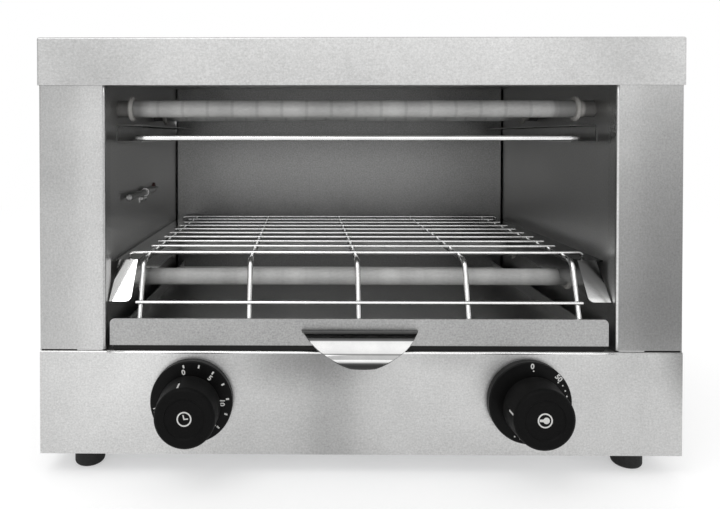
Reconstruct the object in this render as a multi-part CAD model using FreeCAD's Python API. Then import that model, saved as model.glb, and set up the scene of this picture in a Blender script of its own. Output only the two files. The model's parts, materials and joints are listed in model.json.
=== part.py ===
import FreeCAD, Part
import math
import os

# Cheese melter: an open fronted toaster with quartz tubes above and below a wire rack.
# Millimetres, +Z up, the front faces -Y, +X is to the right of someone who faces it.
# Parts are drawn with y = 0 at the front face and moved to the row's origin when written.

# Body
body_width = 450.0
body_depth = 285.0
panel_height = 72.5
opening_height = 185.5
pillar_width = 47.5
header_height = 33.4
sheet = 1.0
liner = 0.8
bend_radius = 0.6
lid_radius = 1.6
header_lip = 10.0
seam = 1.0
pillar_return = 12.0
panel_flange = 15.0
base_flange = 12.0
rear_flange = 11.0
fit_gap = 0.3
overrun = 2.0

# Feet
foot_height = 15.2
foot_diameter = 21.0
foot_edge = 3.0
foot_inset_x = 29.5
foot_inset_y = 20.0
foot_recess_diameter = 9.0
foot_recess_depth = 5.0

# Chamber
cavity_past_opening = 2.5
cavity_rear_gap = 28.0
lid_air_gap = 14.8
wall_flange = 18.0
corner_gap = 1.8
back_foot = 6.0
reflector_overlap = 10.0
shelf_flange = 10.0
wire_slot_width = 24.0
wire_slot_length = 40.0
wire_slot_from_front = 118.0
wire_slot_from_side = 4.0

# Heater tubes
tube_diameter = 13.0
tube_wall = 1.3
coil_diameter = 8.0
coil_end_gap = 27.6
upper_tube_drop = 14.6
lower_tube_drop = 20.8
upper_front_tube_y = 42.0
upper_rear_tube_gap = 99.5
lower_front_tube_y = 63.0
lower_rear_tube_gap = 67.0
upper_tube_shift = -1.5
upper_coil_shift = -3.5
upper_cap_proud = 13.5
lower_cap_proud = 12.0
cap_diameter = 19.0
cap_flange = 3.0
cap_neck_diameter = 12.6
cap_neck_past_wall = 9.0
cap_socket_depth = 4.5
cap_edge = 0.8
tube_fit = 0.1
neck_fit = 0.4
stud_diameter = 4.0
stud_length = 9.0
stud_nut_width = 7.0
stud_nut_height = 3.2

# Rack ledges
ledge_rise = 59.1
ledge_width = 18.5
ledge_web_height = 19.8
ledge_front_y = 5.0
ledge_front_height = 25.8
ledge_slope_run = 19.5
ledge_slope_rise = 26.0
ledge_corner = 4.0
strip_gap_top = 5.0
strip_gap_bottom = 3.2
ledge_tube_slot = 14.4

# Wire rack
rack_above_ledge = 3.2
cross_wire = 2.5
long_wire = 4.0
weld_sink = 0.15
rack_front_y = 37.5
rack_first_pitch = 27.5
rack_rear_gap = 6.4
cross_wires_behind = 9
rack_side_gap = 0.3
long_wire_count = 5
long_wire_inset = 5.2
long_wire_rear_past = 3.0
apron_bend_y = 21.0
apron_run_share = 0.32
apron_drop = 49.0
apron_bend = 8.0
apron_wire_drop = 31.5
apron_wire_inset = 1.4
tip_past_ledge = 9.3
tip_bend = 2.6

# Upper guard
guard_drop = 36.8
guard_wire = 4.0
guard_front_y = 22.0
guard_on_rail = 2.5
guard_rear_gap = 9.0
guard_bend = 10.0
guard_bar = 2.5
guard_bar_count = 6
guard_last_gap = 10.0
rail_width = 19.0
rail_below = 0.3
rail_clear_above = 7.2
rail_front_y = 35.0
rail_rear_gap = 4.0

# Crumb tray
tray_side_gap = 3.75
tray_front_gap = 4.0
tray_front_height = 18.6
tray_front_corner = 3.5
tray_hem = 4.0
tray_inset = 2.25
tray_side_height = 11.5
tray_rear_height = 5.6
tray_front_wall = 12.0
tray_shift = -1.0
tray_float = 0.3

# Tray handle
handle_width = 81.6
handle_reach = 20.0
handle_rise = 10.9
handle_sheet = 1.2
handle_root = 2.9
handle_bend = 12.0
handle_flat = 9.0
handle_first_turn = 45.0
handle_second_turn = 45.0
handle_tab = 9.4
rivet_diameter = 3.2
rivet_head = 5.6
rivet_head_height = 1.0
rivet_spacing = 48.0
rivet_tail = 1.0
rivet_tail_width = 4.8

# Controls
control_from_side = 108.2
control_rise = 38.8
dial_diameter = 57.0
dial_thickness = 6.0
dial_edge = 0.7
dial_bore = 12.0
bush_diameter = 9.5
bush_past_dial = 2.6
bush_fit = 0.3
shaft_diameter = 6.0
shaft_fit = 0.05
shaft_in_body = 8.0
nut_width = 13.0
nut_height = 2.4
nut_fit = 0.05
knob_rear_gap = 3.4
hub_diameter = 25.0
grip_rear_gap = 6.4
grip_rear_diameter = 42.4
grip_front_diameter = 40.4
grip_front_gap = 26.6
grip_edge = 2.6
knob_dish = 0.8
knob_dish_diameter = 27.0
knob_bore_end = 6.0
pointer_width = 1.7
pointer_depth = 0.5
pointer_length_share = 0.55
timer_pointer_angle = -14.0
thermostat_pointer_angle = -82.0
timer_width = 46.0
timer_height = 44.0
timer_depth = 34.0
thermostat_width = 40.0
thermostat_height = 36.0
thermostat_depth = 30.0
control_corner = 3.0
control_plate = 1.5
control_plate_past = 3.0

# Thermostat bulb
bulb_diameter = 5.0
bulb_length = 86.0
bulb_front_y = 48.0
bulb_rise = 102.3
bulb_from_wall = 5.0
clip_width = 22.0
clip_from_end = 34.0
clip_sheet = 0.8
clip_drop = 9.0
clip_fit = 0.15
clip_screw_pitch = 12.0
clip_screw_drop = 6.0
clip_screw_inset = 5.0
clip_screw_diameter = 3.0
clip_screw_head = 5.4
clip_screw_head_height = 1.8
clip_screw_length = 5.0
capillary_diameter = 1.6
capillary_bend = 8.0
capillary_entry_gap = 16.0
capillary_from_wall = 19.2
capillary_drop = 9.0
capillary_step = 26.5
grommet_bore = 1.9
grommet_diameter = 9.0
grommet_groove = 6.4
grommet_lip = 1.2

# Mains entry
gland_from_side = 75.0
gland_rise = 34.8
gland_bore = 8.0
gland_thread = 16.0
gland_thread_length = 9.0
gland_hex = 22.0
gland_hex_height = 4.0
gland_dome = 19.0
gland_dome_height = 12.0
gland_dome_edge = 3.0
gland_nut_height = 4.0
block_width = 40.0
block_depth = 20.0
block_height = 18.0
block_from_back = 60.0
block_step = 5.0
block_pole_count = 3
block_well = 5.0
block_well_depth = 6.0

# Wiring
lead_diameter = 2.4
lead_bend = 9.0
lead_rise = 9.0
lead_link_rise = 10.0
lead_link_y = 70.0
lead_turn_y = 130.0
lead_cross_gap = 25.0
lead_near_y = 90.0
link_reach = 10.0
link_bend = 6.0
feed_from_slot = 9.0
riser_from_rear = 30.0
feed_rise = 8.0
feed_turn_y = 80.0
feed_offset = 13.0
tap_offset = 5.0

# Openings and screws in the casing
vent_width = 60.0
vent_height = 4.0
vent_pitch = 9.0
vent_rows = 4
vent_columns = 3
vent_column_pitch = 90.0
vent_low_z = 34.0
vent_column_shift = -60.0
base_vent_length = 50.0
base_vent_rows = 5
base_vent_pitch = 12.0
screw_diameter = 4.0
screw_head = 7.6
screw_head_height = 2.4
screw_length = 6.0
screw_head_edge = 0.8
back_screw_rows = 3
back_screw_low = 26.0
back_screw_drop = 25.2
lid_screw_columns = 3
lid_screw_inset = 45.0

# Places worked out from the sizes above
half_width = body_width / 2
side_face = half_width - sheet
side_inner = side_face - sheet
lid_front = -sheet
lid_back = body_depth - sheet
back_face = lid_back - sheet
back_inner = back_face - sheet
panel_top = foot_height + panel_height
header_bottom = panel_top + opening_height
top = header_bottom + header_height
lid_under = top - sheet
opening_width = body_width - 2 * pillar_width
opening_half = opening_width / 2
shelf_top = panel_top - sheet
cavity_half = opening_half + cavity_past_opening
cavity_depth = body_depth - cavity_rear_gap
wall_outer = cavity_half + liner
ceiling = lid_under - lid_air_gap - liner
base_top = foot_height + sheet
slope_share = ledge_slope_run / ledge_slope_rise
sheet_top = lid_under - lid_radius + sheet
control_x = half_width - control_from_side
control_height = foot_height + control_rise
dial_front = -dial_thickness
knob_front = dial_front - grip_front_gap
bush_front = dial_front - bush_past_dial
stud_end = wall_outer + cap_neck_past_wall + stud_length
link_x = stud_end + link_reach
bulb_x = -(cavity_half - bulb_from_wall)
bulb_height = panel_top + bulb_rise
bulb_rear_y = bulb_front_y + bulb_length
clip_from_front = bulb_rear_y - clip_from_end
capillary_entry_y = bulb_rear_y + capillary_entry_gap
gland_end = back_face + gland_hex_height + gland_dome_height
front_shift = -(knob_front + gland_end) / 2
turn_unit = 1.0

# Places of the tubes, ledges and rack
coil_length = 2 * (cavity_half - coil_end_gap)
upper_tube_height = header_bottom - upper_tube_drop
upper_rear_tube_y = cavity_depth - upper_rear_tube_gap
lower_rear_tube_y = cavity_depth - lower_rear_tube_gap
upper_cap_reach = cavity_half - upper_cap_proud
lower_cap_reach = cavity_half - lower_cap_proud
ledge_top = panel_top + ledge_rise
ledge_inner_x = cavity_half - ledge_width
ledge_web_bottom = ledge_top - ledge_web_height
ledge_front_z = ledge_top - ledge_front_height
strip_outer_top = cavity_half - strip_gap_top
strip_outer_bottom = cavity_half - strip_gap_bottom
lower_tube_height = ledge_top - lower_tube_drop
rack_height = ledge_top + rack_above_ledge
rack_second_y = rack_front_y + rack_first_pitch
rack_rear_y = cavity_depth - rack_rear_gap
rack_pitch = (rack_rear_y - rack_second_y) / (cross_wires_behind - 1)
cross_wire_length = 2 * (ledge_inner_x - rack_side_gap)
long_wire_pitch = (cross_wire_length - 2 * long_wire_inset) / (long_wire_count - 1)
apron_bottom_z = rack_height - apron_drop
apron_wire_z = rack_height - apron_wire_drop
apron_wire_length = cross_wire_length - 2 * apron_wire_inset
tip_x = ledge_inner_x + tip_past_ledge

# Places of the guard and the tray
guard_height = header_bottom - guard_drop
guard_rear_y = cavity_depth - guard_rear_gap
guard_bar_pitch = (guard_rear_y - guard_front_y - guard_last_gap) / guard_bar_count
rail_inner_x = cavity_half - rail_width
guard_half_width = rail_inner_x + guard_on_rail
tray_front_width = opening_width - 2 * tray_side_gap
tray_width = tray_front_width - 2 * tray_inset
tray_front_bottom = panel_top + tray_front_gap
handle_top = tray_front_bottom + handle_rise

# Places of the wiring and the screws
capillary_riser_x = wall_outer + capillary_from_wall
capillary_low_z = control_height - capillary_drop
capillary_step_x = control_x - thermostat_width / 2 - capillary_step
gland_x = half_width - gland_from_side
gland_height = foot_height + gland_rise
block_y = body_depth - block_from_back
lead_low_z = base_top + lead_rise
lead_mid_z = control_height
lead_link_z = control_height + lead_link_rise
lead_cross_y = block_y - lead_cross_gap
feed_y = wire_slot_from_front + feed_from_slot
feed_low_z = control_height + feed_rise
riser_y = lower_rear_tube_y - riser_from_rear
back_screw_span = header_bottom - foot_height - back_screw_low - back_screw_drop
back_screw_pitch = back_screw_span / (back_screw_rows - 1)
lid_screw_pitch = (body_width - 2 * lid_screw_inset) / (lid_screw_columns - 1)


def vec(x, y, z):
    return FreeCAD.Vector(x, y, z)


right = vec(turn_unit, 0, 0)
back = vec(0, turn_unit, 0)
up = vec(0, 0, turn_unit)
middle = vec(0, 0, 0)


# A box between two values on each axis
def block(x_low, x_high, y_low, y_high, z_low, z_high):
    return Part.makeBox(x_high - x_low, y_high - y_low, z_high - z_low, vec(x_low, y_low, z_low))


# A round bar from a point along an axis
def bar(start, axis, length, diameter):
    return Part.makeCylinder(diameter / 2, length, start, axis)


def in_xy(u, v):
    return vec(u, v, 0)


def in_yz(u, v):
    return vec(0, u, v)


def in_xz(u, v):
    return vec(u, 0, v)


# Lines through the points, with an arc of the given radius at each inner point
def rounded_edges(points, radii, closed):
    count = len(points)
    starts, ends, arcs = [], [], []
    for number, point in enumerate(points):
        radius = radii[number]
        if radius == 0 or (not closed and number in (0, count - 1)):
            starts.append(point)
            ends.append(point)
            continue
        before = point - points[number - 1]
        after = points[(number + 1) % count] - point
        before.normalize()
        after.normalize()
        half_turn = before.getAngle(after) / 2
        reach = radius * math.tan(half_turn)
        inward = after - before
        inward.normalize()
        first = point - before * reach
        last = point + after * reach
        crown = point + inward * (radius / math.cos(half_turn) - radius)
        starts.append(first)
        ends.append(last)
        arcs.append((number, Part.Arc(first, crown, last).toShape()))
    bends = dict(arcs)
    edges = []
    for number in range(count):
        if number in bends:
            edges.append(bends[number])
        if number == count - 1 and not closed:
            break
        start = ends[number]
        finish = starts[(number + 1) % count]
        if start.distanceToPoint(finish) > Part.Precision.confusion():
            edges.append(Part.LineSegment(start, finish).toShape())
    return edges


# A flat face with rounded corners
def rounded_face(points, radii):
    return Part.Face(Part.Wire(rounded_edges(points, radii, True)))


# Sheet bent along a line, with its thickness on the left of the line
def folded(line, thickness, place, run):
    count = len(line)
    normals = []
    for (u0, v0), (u1, v1) in zip(line, line[1:]):
        length = math.hypot(u1 - u0, v1 - v0)
        normals.append(((v0 - v1) / length, (u1 - u0) / length))
    near, far = [], []
    for number, (u, v) in enumerate(line):
        first = normals[max(number - 1, 0)]
        second = normals[min(number, count - 2)]
        share = thickness / (turn_unit + first[0] * second[0] + first[1] * second[1])
        offset_u = (first[0] + second[0]) * share
        offset_v = (first[1] + second[1]) * share
        turn = first[0] * second[1] - first[1] * second[0]
        inner, outer = bend_radius, bend_radius + thickness
        if number in (0, count - 1):
            inner, outer = 0, 0
        near.append((u, v, outer if turn > 0 else inner))
        far.append((u + offset_u, v + offset_v, inner if turn > 0 else outer))
    corners = near + far[::-1]
    points = [place(u, v) for u, v, radius in corners]
    return rounded_face(points, [radius for u, v, radius in corners]).extrude(run)


# Round wire bent along a path, with arcs at its corners
def bent_wire(points, bend, diameter):
    path = Part.Wire(rounded_edges(points, [bend] * len(points), False))
    ring = Part.Circle(points[0], points[1] - points[0], diameter / 2).toShape()
    return path.makePipeShell([Part.Wire(ring)], True, False)


# A ring or plug turned about an axis from its profile of (along, radius) points
def turned(profile, origin, axis, side):
    points = [origin + axis * along + side * radius for along, radius in profile]
    face = Part.Face(Part.makePolygon(points + points[:1]))
    full_turn = 2 * math.degrees(math.pi)
    return face.revolve(origin, axis, full_turn)


def mirrored(shape):
    return shape.mirror(middle, right)


# A hexagonal nut that starts at a point and runs along an axis
def hex_nut(start, axis, width, height, bore):
    side = up if abs(axis.z) < abs(axis.x) + abs(axis.y) else right
    cross = axis.cross(side)
    corners = []
    radius = width / math.sqrt(3)
    for number in range(6):
        angle = number * math.pi / 3
        corners.append(start + side * (radius * math.cos(angle)) + cross * (radius * math.sin(angle)))
    nut = Part.Face(Part.makePolygon(corners + corners[:1])).extrude(axis * height)
    return nut.cut(bar(start - axis * overrun, axis, height + 2 * overrun, bore))


# A pan head screw whose head seats at a point and whose shank runs along an axis
def pan_screw(seat, axis, diameter, length, head, head_height, edge):
    side = up if abs(axis.z) < abs(axis.x) + abs(axis.y) else right
    profile = [
        (-head_height, 0),
        (-head_height, head / 2 - edge),
        (-head_height + edge, head / 2),
        (0, head / 2),
        (0, diameter / 2),
        (length, diameter / 2),
        (length, 0),
    ]
    return turned(profile, seat, axis, side)


# Edges of a shape that pass a test on their middle point and direction
def picked(shape, wanted):
    chosen = []
    for edge in shape.Edges:
        middle_point = edge.valueAt((edge.FirstParameter + edge.LastParameter) / 2)
        span = edge.Vertexes[-1].Point - edge.Vertexes[0].Point
        if wanted(middle_point, span):
            chosen.append(edge)
    return chosen


# Writes one node, moved so that the origin is under the middle of the whole
def write(name, *solids):
    shape = solids[0] if len(solids) == 1 else Part.makeCompound(list(solids))
    shape = shape.copy()
    shape.translate(vec(0, front_shift, 0))
    if not shape.isValid():
        raise ValueError(name + " is not a valid shape")
    shape.exportStep("parts/" + name + ".step")
    print(name, len(shape.Solids), "solids", round(shape.Volume), "mm3")


# The lid with its deep front header, skirts on the other sides and a lip over the opening
def top_cover():
    outer = block(-half_width, half_width, lid_front, lid_back, header_bottom, top)
    rounded = picked(outer, lambda p, s: abs(s.z) > 0 or p.z > top - overrun)
    outer = outer.makeFillet(lid_radius, rounded)
    inner = block(-side_face, side_face, 0, back_face, header_bottom - overrun, lid_under)
    inner_edges = picked(inner, lambda p, s: abs(s.z) > 0 or p.z > lid_under - overrun)
    inner = inner.makeFillet(lid_radius - sheet, inner_edges)
    lip_half = opening_half - fit_gap
    lip = block(-lip_half, lip_half, lid_front + sheet / 2, header_lip, header_bottom, header_bottom + sheet)
    cover = outer.cut(inner).fuse(lip).removeSplitter()
    for place in lid_screw_places():
        cover = cover.cut(bar(place - back * overrun, back, 2 * overrun, screw_diameter + 2 * fit_gap))
    return cover


def lid_screw_places():
    first = -(lid_screw_columns - 1) * lid_screw_pitch / 2
    height = header_bottom + header_height / 2
    return [vec(first + n * lid_screw_pitch, lid_back, height) for n in range(lid_screw_columns)]


def back_screw_places():
    places = []
    for side in (-1, 1):
        for row in range(back_screw_rows):
            height = foot_height + back_screw_low + row * back_screw_pitch
            places.append(vec(side * (side_face - rear_flange / 2), back_face, height))
    return places


# Right outer side: the sheet turns round the front to make the pillar and ends in a return
def side_panel():
    low = panel_top + seam
    line = [
        (opening_half, pillar_return),
        (opening_half, 0),
        (side_face, 0),
        (side_face, back_inner),
        (side_face - rear_flange, back_inner),
    ]
    upper = folded(line, sheet, in_xy, up * (sheet_top - low))
    upper.translate(up * low)
    over = ceiling - header_lip
    trim = block(0, opening_half + sheet + bend_radius, sheet + bend_radius, pillar_return + overrun, over, top)
    upper = upper.cut(trim)
    lower_line = [
        (side_face, sheet),
        (side_face, back_inner),
        (side_face - rear_flange, back_inner),
    ]
    lower = folded(lower_line, sheet, in_xy, up * (low - foot_height))
    lower.translate(up * foot_height)
    panel = upper.fuse(lower).removeSplitter()
    for place in back_screw_places():
        if place.x > 0:
            panel = panel.cut(bar(place - back * (2 * overrun), back, 2 * overrun, screw_diameter + fit_gap / 3))
    return panel


# Front panel that carries both dials, with a flange that closes the slot under the tray
def control_panel():
    line = [(panel_flange, panel_top), (0, panel_top), (0, foot_height)]
    panel = folded(line, sheet, in_yz, right * (2 * side_face))
    panel.translate(right * -side_face)
    for side in (-1, 1):
        edge = side * (side_inner + side_face + overrun) / 2
        half = (side_face + overrun - side_inner) / 2
        panel = panel.cut(block(edge - half, edge + half, sheet, panel_flange + overrun, foot_height, panel_top + overrun))
        hole = vec(side * control_x, -overrun, control_height)
        panel = panel.cut(bar(hole, back, 3 * overrun, bush_diameter + 2 * bush_fit))
    return panel


# Floor of the casing with upstands that the outer sheets are fixed to
def base_pan():
    pan = block(-side_inner, side_inner, sheet, back_inner, foot_height, base_top)
    high = foot_height + base_flange
    flange_half = side_face - rear_flange - fit_gap
    pan = pan.fuse([
        block(-side_inner, side_inner, sheet, 2 * sheet, foot_height, high),
        block(-side_inner, -side_inner + sheet, sheet, back_inner - 2 * sheet, foot_height, high),
        block(side_inner - sheet, side_inner, sheet, back_inner - 2 * sheet, foot_height, high),
        block(-flange_half, flange_half, back_inner - sheet, back_inner, foot_height, high),
    ])
    for side in (-1, 1):
        corner_low = min(side * flange_half, side * side_face)
        corner_high = max(side * flange_half, side * side_face)
        pan = pan.cut(block(corner_low, corner_high, back_inner - sheet - bend_radius, back_inner + overrun, 0, top))
    pan = pan.removeSplitter()
    for x, y in foot_places():
        pan = pan.cut(bar(vec(x, y, foot_height - overrun), up, 2 * overrun, screw_diameter + 2 * shaft_fit))
    first = body_depth / 2 - (base_vent_rows - 1) * base_vent_pitch / 2
    for side in (-1, 1):
        for row in range(base_vent_rows):
            y = first + row * base_vent_pitch
            pan = pan.cut(slot_along_x(side * control_x, y, base_vent_length, foot_height))
    return pan


# A round ended slot through the base, long in X
def slot_along_x(x, y, length, z):
    half = length / 2
    rise = vent_height / 2
    points = [vec(x - half, y - rise, z), vec(x + half, y - rise, z), vec(x + half, y + rise, z), vec(x - half, y + rise, z)]
    radii = [rise - rise / 50] * 4
    cutter = rounded_face(points, radii).extrude(up * (2 * overrun + sheet))
    cutter.translate(up * -overrun)
    return cutter


# Flat back with rows of vent slots and the hole for the mains gland
def back_panel():
    half = side_face - lid_radius + sheet
    panel = block(-half, half, back_inner, back_face, foot_height, sheet_top)
    first = vent_column_shift - (vent_columns - 1) * vent_column_pitch / 2
    for row in range(vent_rows):
        z = vent_low_z + row * vent_pitch
        for column in range(vent_columns):
            panel = panel.cut(back_slot(first + column * vent_column_pitch, z))
            panel = panel.cut(back_slot(first + column * vent_column_pitch, ceiling - vent_pitch * (row + 2)))
    for place in back_screw_places():
        panel = panel.cut(bar(place - back * overrun, back, 2 * overrun, screw_diameter + 2 * fit_gap))
    for place in lid_screw_places():
        panel = panel.cut(bar(place - back * (3 * overrun), back, 4 * overrun, screw_diameter + fit_gap / 3))
    hole = vec(gland_x, back_inner - overrun, gland_height)
    return panel.cut(bar(hole, back, sheet + 2 * overrun, gland_thread + 2 * fit_gap))


def back_slot(x, z):
    half = vent_width / 2
    rise = vent_height / 2
    y = back_inner - overrun
    points = [vec(x - half, y, z - rise), vec(x + half, y, z - rise), vec(x + half, y, z + rise), vec(x - half, y, z + rise)]
    return rounded_face(points, [rise - rise / 50] * 4).extrude(back * (sheet + 2 * overrun))


# Shelf between the controls and the chamber, with a slot for the wires at each side
def mid_shelf():
    front = sheet + bend_radius + fit_gap
    low = shelf_top - shelf_flange
    line = [(side_inner, low), (side_inner, shelf_top), (-side_inner, shelf_top), (-side_inner, low)]
    shelf = folded(line, liner, in_xz, back * (back_inner - front))
    shelf.translate(back * front)
    corner = side_face - rear_flange - fit_gap
    for side in (-1, 1):
        slot_far = side_inner - wire_slot_from_side
        slot_near = slot_far - wire_slot_width
        low, high = sorted((side * slot_far, side * slot_near))
        slot_back = wire_slot_from_front + wire_slot_length
        shelf = shelf.cut(block(low, high, wire_slot_from_front, slot_back, 0, top))
        low, high = sorted((side * corner, side * side_face))
        shelf = shelf.cut(block(low, high, back_inner - sheet - bend_radius, back_face, 0, top))
    return shelf


def tube_places():
    return [
        ("upper_front", upper_front_tube_y, upper_tube_height, upper_tube_shift, upper_cap_reach),
        ("upper_rear", upper_rear_tube_y, upper_tube_height, upper_tube_shift, upper_cap_reach),
        ("lower_front", lower_front_tube_y, lower_tube_height, 0, lower_cap_reach),
        ("lower_rear", lower_rear_tube_y, lower_tube_height, 0, lower_cap_reach),
    ]


# Right wall of the chamber, with a front flange behind the pillar and holes for the tube ends
def cavity_wall():
    line = [
        (cavity_half, cavity_depth + liner),
        (cavity_half, sheet),
        (cavity_half + wall_flange, sheet),
    ]
    wall = folded(line, liner, in_xy, up * (ceiling - shelf_top))
    wall.translate(up * shelf_top)
    notch_back = panel_flange + fit_gap
    wall = wall.cut(block(0, half_width, 0, notch_back, shelf_top - overrun, panel_top))
    for name, y, z, shift, reach in tube_places():
        hole = vec(cavity_half - overrun, y, z)
        wall = wall.cut(bar(hole, right, liner + 2 * overrun, cap_neck_diameter + 2 * neck_fit))
    return wall


# The left wall is the same sheet with a hole for the thermostat's capillary and two for its clip
def left_cavity_wall():
    wall = mirrored(cavity_wall())
    start = -cavity_half - liner - overrun
    wall = wall.cut(bar(vec(start, capillary_entry_y, bulb_height), right, 2 * overrun + liner, grommet_groove))
    for y in clip_screw_rows():
        hole = vec(start, y, bulb_height - clip_screw_drop)
        wall = wall.cut(bar(hole, right, 2 * overrun + liner, clip_screw_diameter + 2 * shaft_fit))
    return wall


# Back wall of the chamber, which stands on its own foot flange and leaves a dark gap at each corner
def cavity_back():
    half = cavity_half - corner_gap
    line = [
        (cavity_depth, ceiling),
        (cavity_depth, shelf_top),
        (cavity_depth + back_foot, shelf_top),
    ]
    wall = folded(line, liner, in_yz, right * (2 * half))
    wall.translate(right * -half)
    return wall


# Polished sheet over the upper tubes
def upper_reflector():
    half = wall_outer + reflector_overlap
    front = sheet + bend_radius + fit_gap
    return block(-half, half, front, cavity_depth + liner, ceiling, ceiling + liner)


def slope_y(z):
    return ledge_front_y + (z - ledge_front_z) * slope_share


# Right ledge: a flat top for the rack, a web notched over the tubes and a sloping front strip
def rack_ledge():
    rear = cavity_depth - fit_gap
    shelf = block(ledge_inner_x, cavity_half, slope_y(ledge_top), rear, ledge_top - sheet, ledge_top)
    web_points = [
        vec(ledge_inner_x, slope_y(ledge_web_bottom), ledge_web_bottom),
        vec(ledge_inner_x, slope_y(ledge_top), ledge_top),
        vec(ledge_inner_x, rear, ledge_top),
        vec(ledge_inner_x, rear, ledge_web_bottom),
    ]
    web = Part.Face(Part.makePolygon(web_points + web_points[:1])).extrude(right * sheet)
    for name, y, z, shift, reach in tube_places():
        if z < ledge_top:
            web = web.cut(bar(vec(ledge_inner_x - overrun, y, z), right, sheet + 2 * overrun, ledge_tube_slot))
    # Sloping strip, its inner lower corner rounded
    slope_length = math.hypot(ledge_top - ledge_front_z, slope_y(ledge_top) - ledge_front_y)
    along = vec(0, slope_y(ledge_top) - ledge_front_y, ledge_top - ledge_front_z)
    along.normalize()
    low_inner = vec(ledge_inner_x, ledge_front_y, ledge_front_z)
    low_outer = low_inner + right * (strip_outer_bottom - ledge_inner_x)
    high_inner = low_inner + along * slope_length
    points = [low_inner, low_outer, high_inner + right * (strip_outer_top - ledge_inner_x), high_inner]
    through = right.cross(along) * -sheet
    strip = rounded_face(points, [ledge_corner, 0, 0, 0]).extrude(through)
    return shelf.fuse([web, strip]).removeSplitter()


# Right channel that carries the side wire of the upper guard
def guard_rail():
    floor_top = guard_height - guard_wire / 2 - rail_below
    low = floor_top - liner
    high = guard_height + guard_wire / 2 + rail_clear_above + liner
    line = [
        (rail_inner_x, low),
        (cavity_half, low),
        (cavity_half, high),
        (rail_inner_x, high),
    ]
    length = cavity_depth - rail_rear_gap - rail_front_y
    rail = folded(line, liner, in_xz, back * length)
    rail.translate(back * rail_front_y)
    return rail


# Quartz tube that ends inside both caps
def quartz_tube(y, z, shift, reach):
    half = reach + cap_socket_depth - fit_gap
    start = vec(shift - half, y, z)
    outer = bar(start, right, 2 * half, tube_diameter)
    bore = bar(start - right * overrun, right, 2 * (half + overrun), tube_diameter - 2 * tube_wall)
    return outer.cut(bore)


# Outer shape of the wound coil, with straight tails that run into the caps
def heating_coil(y, z, shift, reach, coil_shift):
    half = coil_length / 2
    tail = reach + cap_socket_depth
    radius = coil_diameter / 2
    wire = stud_diameter / 4
    profile = [
        (-tail, 0),
        (-tail, wire),
        (coil_shift - half, wire),
        (coil_shift - half, radius),
        (coil_shift + half, radius),
        (coil_shift + half, wire),
        (tail, wire),
        (tail, 0),
    ]
    return turned(profile, vec(shift, y, z), right, up)


# Ceramic cap on the right end: a collar round the tube and a neck through the wall
def tube_cap(y, z, shift, reach):
    collar = cap_diameter / 2
    neck = cap_neck_diameter / 2
    socket = tube_diameter / 2 + tube_fit
    end = wall_outer + cap_neck_past_wall - shift
    profile = [
        (reach, socket),
        (reach, collar - cap_edge),
        (reach + cap_edge, collar),
        (reach + cap_flange - cap_edge, collar),
        (reach + cap_flange, collar - cap_edge),
        (reach + cap_flange, neck),
        (end, neck),
        (end, 0),
        (reach + cap_socket_depth, 0),
        (reach + cap_socket_depth, socket),
    ]
    return turned(profile, vec(shift, y, z), right, up)


# Threaded stud and nut on the outer end of each cap
def tube_terminals():
    solids = []
    start = wall_outer + cap_neck_past_wall
    for name, y, z, shift, reach in tube_places():
        point = vec(start, y, z)
        stud = bar(point, right, stud_length, stud_diameter)
        nut = hex_nut(point, right, stud_nut_width, stud_nut_height, stud_diameter - fit_gap)
        terminal = stud.fuse(nut).removeSplitter()
        solids += [terminal, mirrored(terminal)]
    return solids


def foot_places():
    x = half_width - foot_inset_x
    front = foot_inset_y
    rear = back_face - foot_inset_y
    return [(-x, front), (x, front), (-x, rear), (x, rear)]


# Rubber foot with a rounded rim and a recess for its screw
def foot(x, y):
    radius = foot_diameter / 2
    body = bar(vec(x, y, 0), up, foot_height, foot_diameter)
    body = body.makeFillet(foot_edge, picked(body, lambda p, s: p.z < foot_edge and s.Length < radius))
    body = body.cut(bar(vec(x, y, -overrun), up, foot_recess_depth + overrun, foot_recess_diameter))
    return body.cut(bar(vec(x, y, 0), up, foot_height + overrun, screw_diameter + 2 * shaft_fit))


def foot_screw(x, y):
    seat = vec(x, y, foot_recess_depth)
    length = foot_height - foot_recess_depth + sheet + screw_length / 2
    return pan_screw(seat, up, screw_diameter, length, screw_head, screw_head_height, screw_head_edge)


# Clockwork timer or thermostat behind the panel: a rounded case, a front plate and a threaded bush
def control_body(x, width, height, depth):
    low = control_height - height / 2
    case = block(x - width / 2, x + width / 2, sheet + control_plate, sheet + depth, low, low + height)
    case = case.makeFillet(control_corner, picked(case, lambda p, s: abs(s.y) > control_plate))
    past = control_plate_past
    plate = block(x - width / 2, x + width / 2, sheet, sheet + control_plate, low - past, low + height + past)
    axis_point = vec(x, bush_front, control_height)
    bush = bar(axis_point, back, sheet + control_plate - bush_front, bush_diameter)
    body = case.fuse([plate, bush]).removeSplitter()
    bore_length = sheet + shaft_in_body - bush_front
    return body.cut(bar(axis_point - back * overrun, back, bore_length + overrun, shaft_diameter + 2 * shaft_fit))


# Spindle from inside the control to the knob, with a flat on its front end
def shaft(x, angle):
    front = knob_front + knob_bore_end
    length = sheet + shaft_in_body - fit_gap - front
    spindle = bar(vec(x, front, control_height), back, length, shaft_diameter)
    flat_z = control_height + shaft_diameter / 3
    flat_length = bush_front - fit_gap - front
    cutter = block(x - shaft_diameter, x + shaft_diameter, front - overrun, front + flat_length, flat_z, top)
    spindle = spindle.cut(cutter)
    spindle.rotate(vec(x, 0, control_height), back, angle)
    return spindle


# Round scale plate behind the knob
def dial(x):
    radius = dial_diameter / 2
    profile = [
        (0, dial_bore / 2),
        (0, radius),
        (dial_thickness - dial_edge, radius),
        (dial_thickness, radius - dial_edge),
        (dial_thickness, dial_bore / 2),
    ]
    return turned(profile, vec(x, 0, control_height), -back, up)


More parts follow.
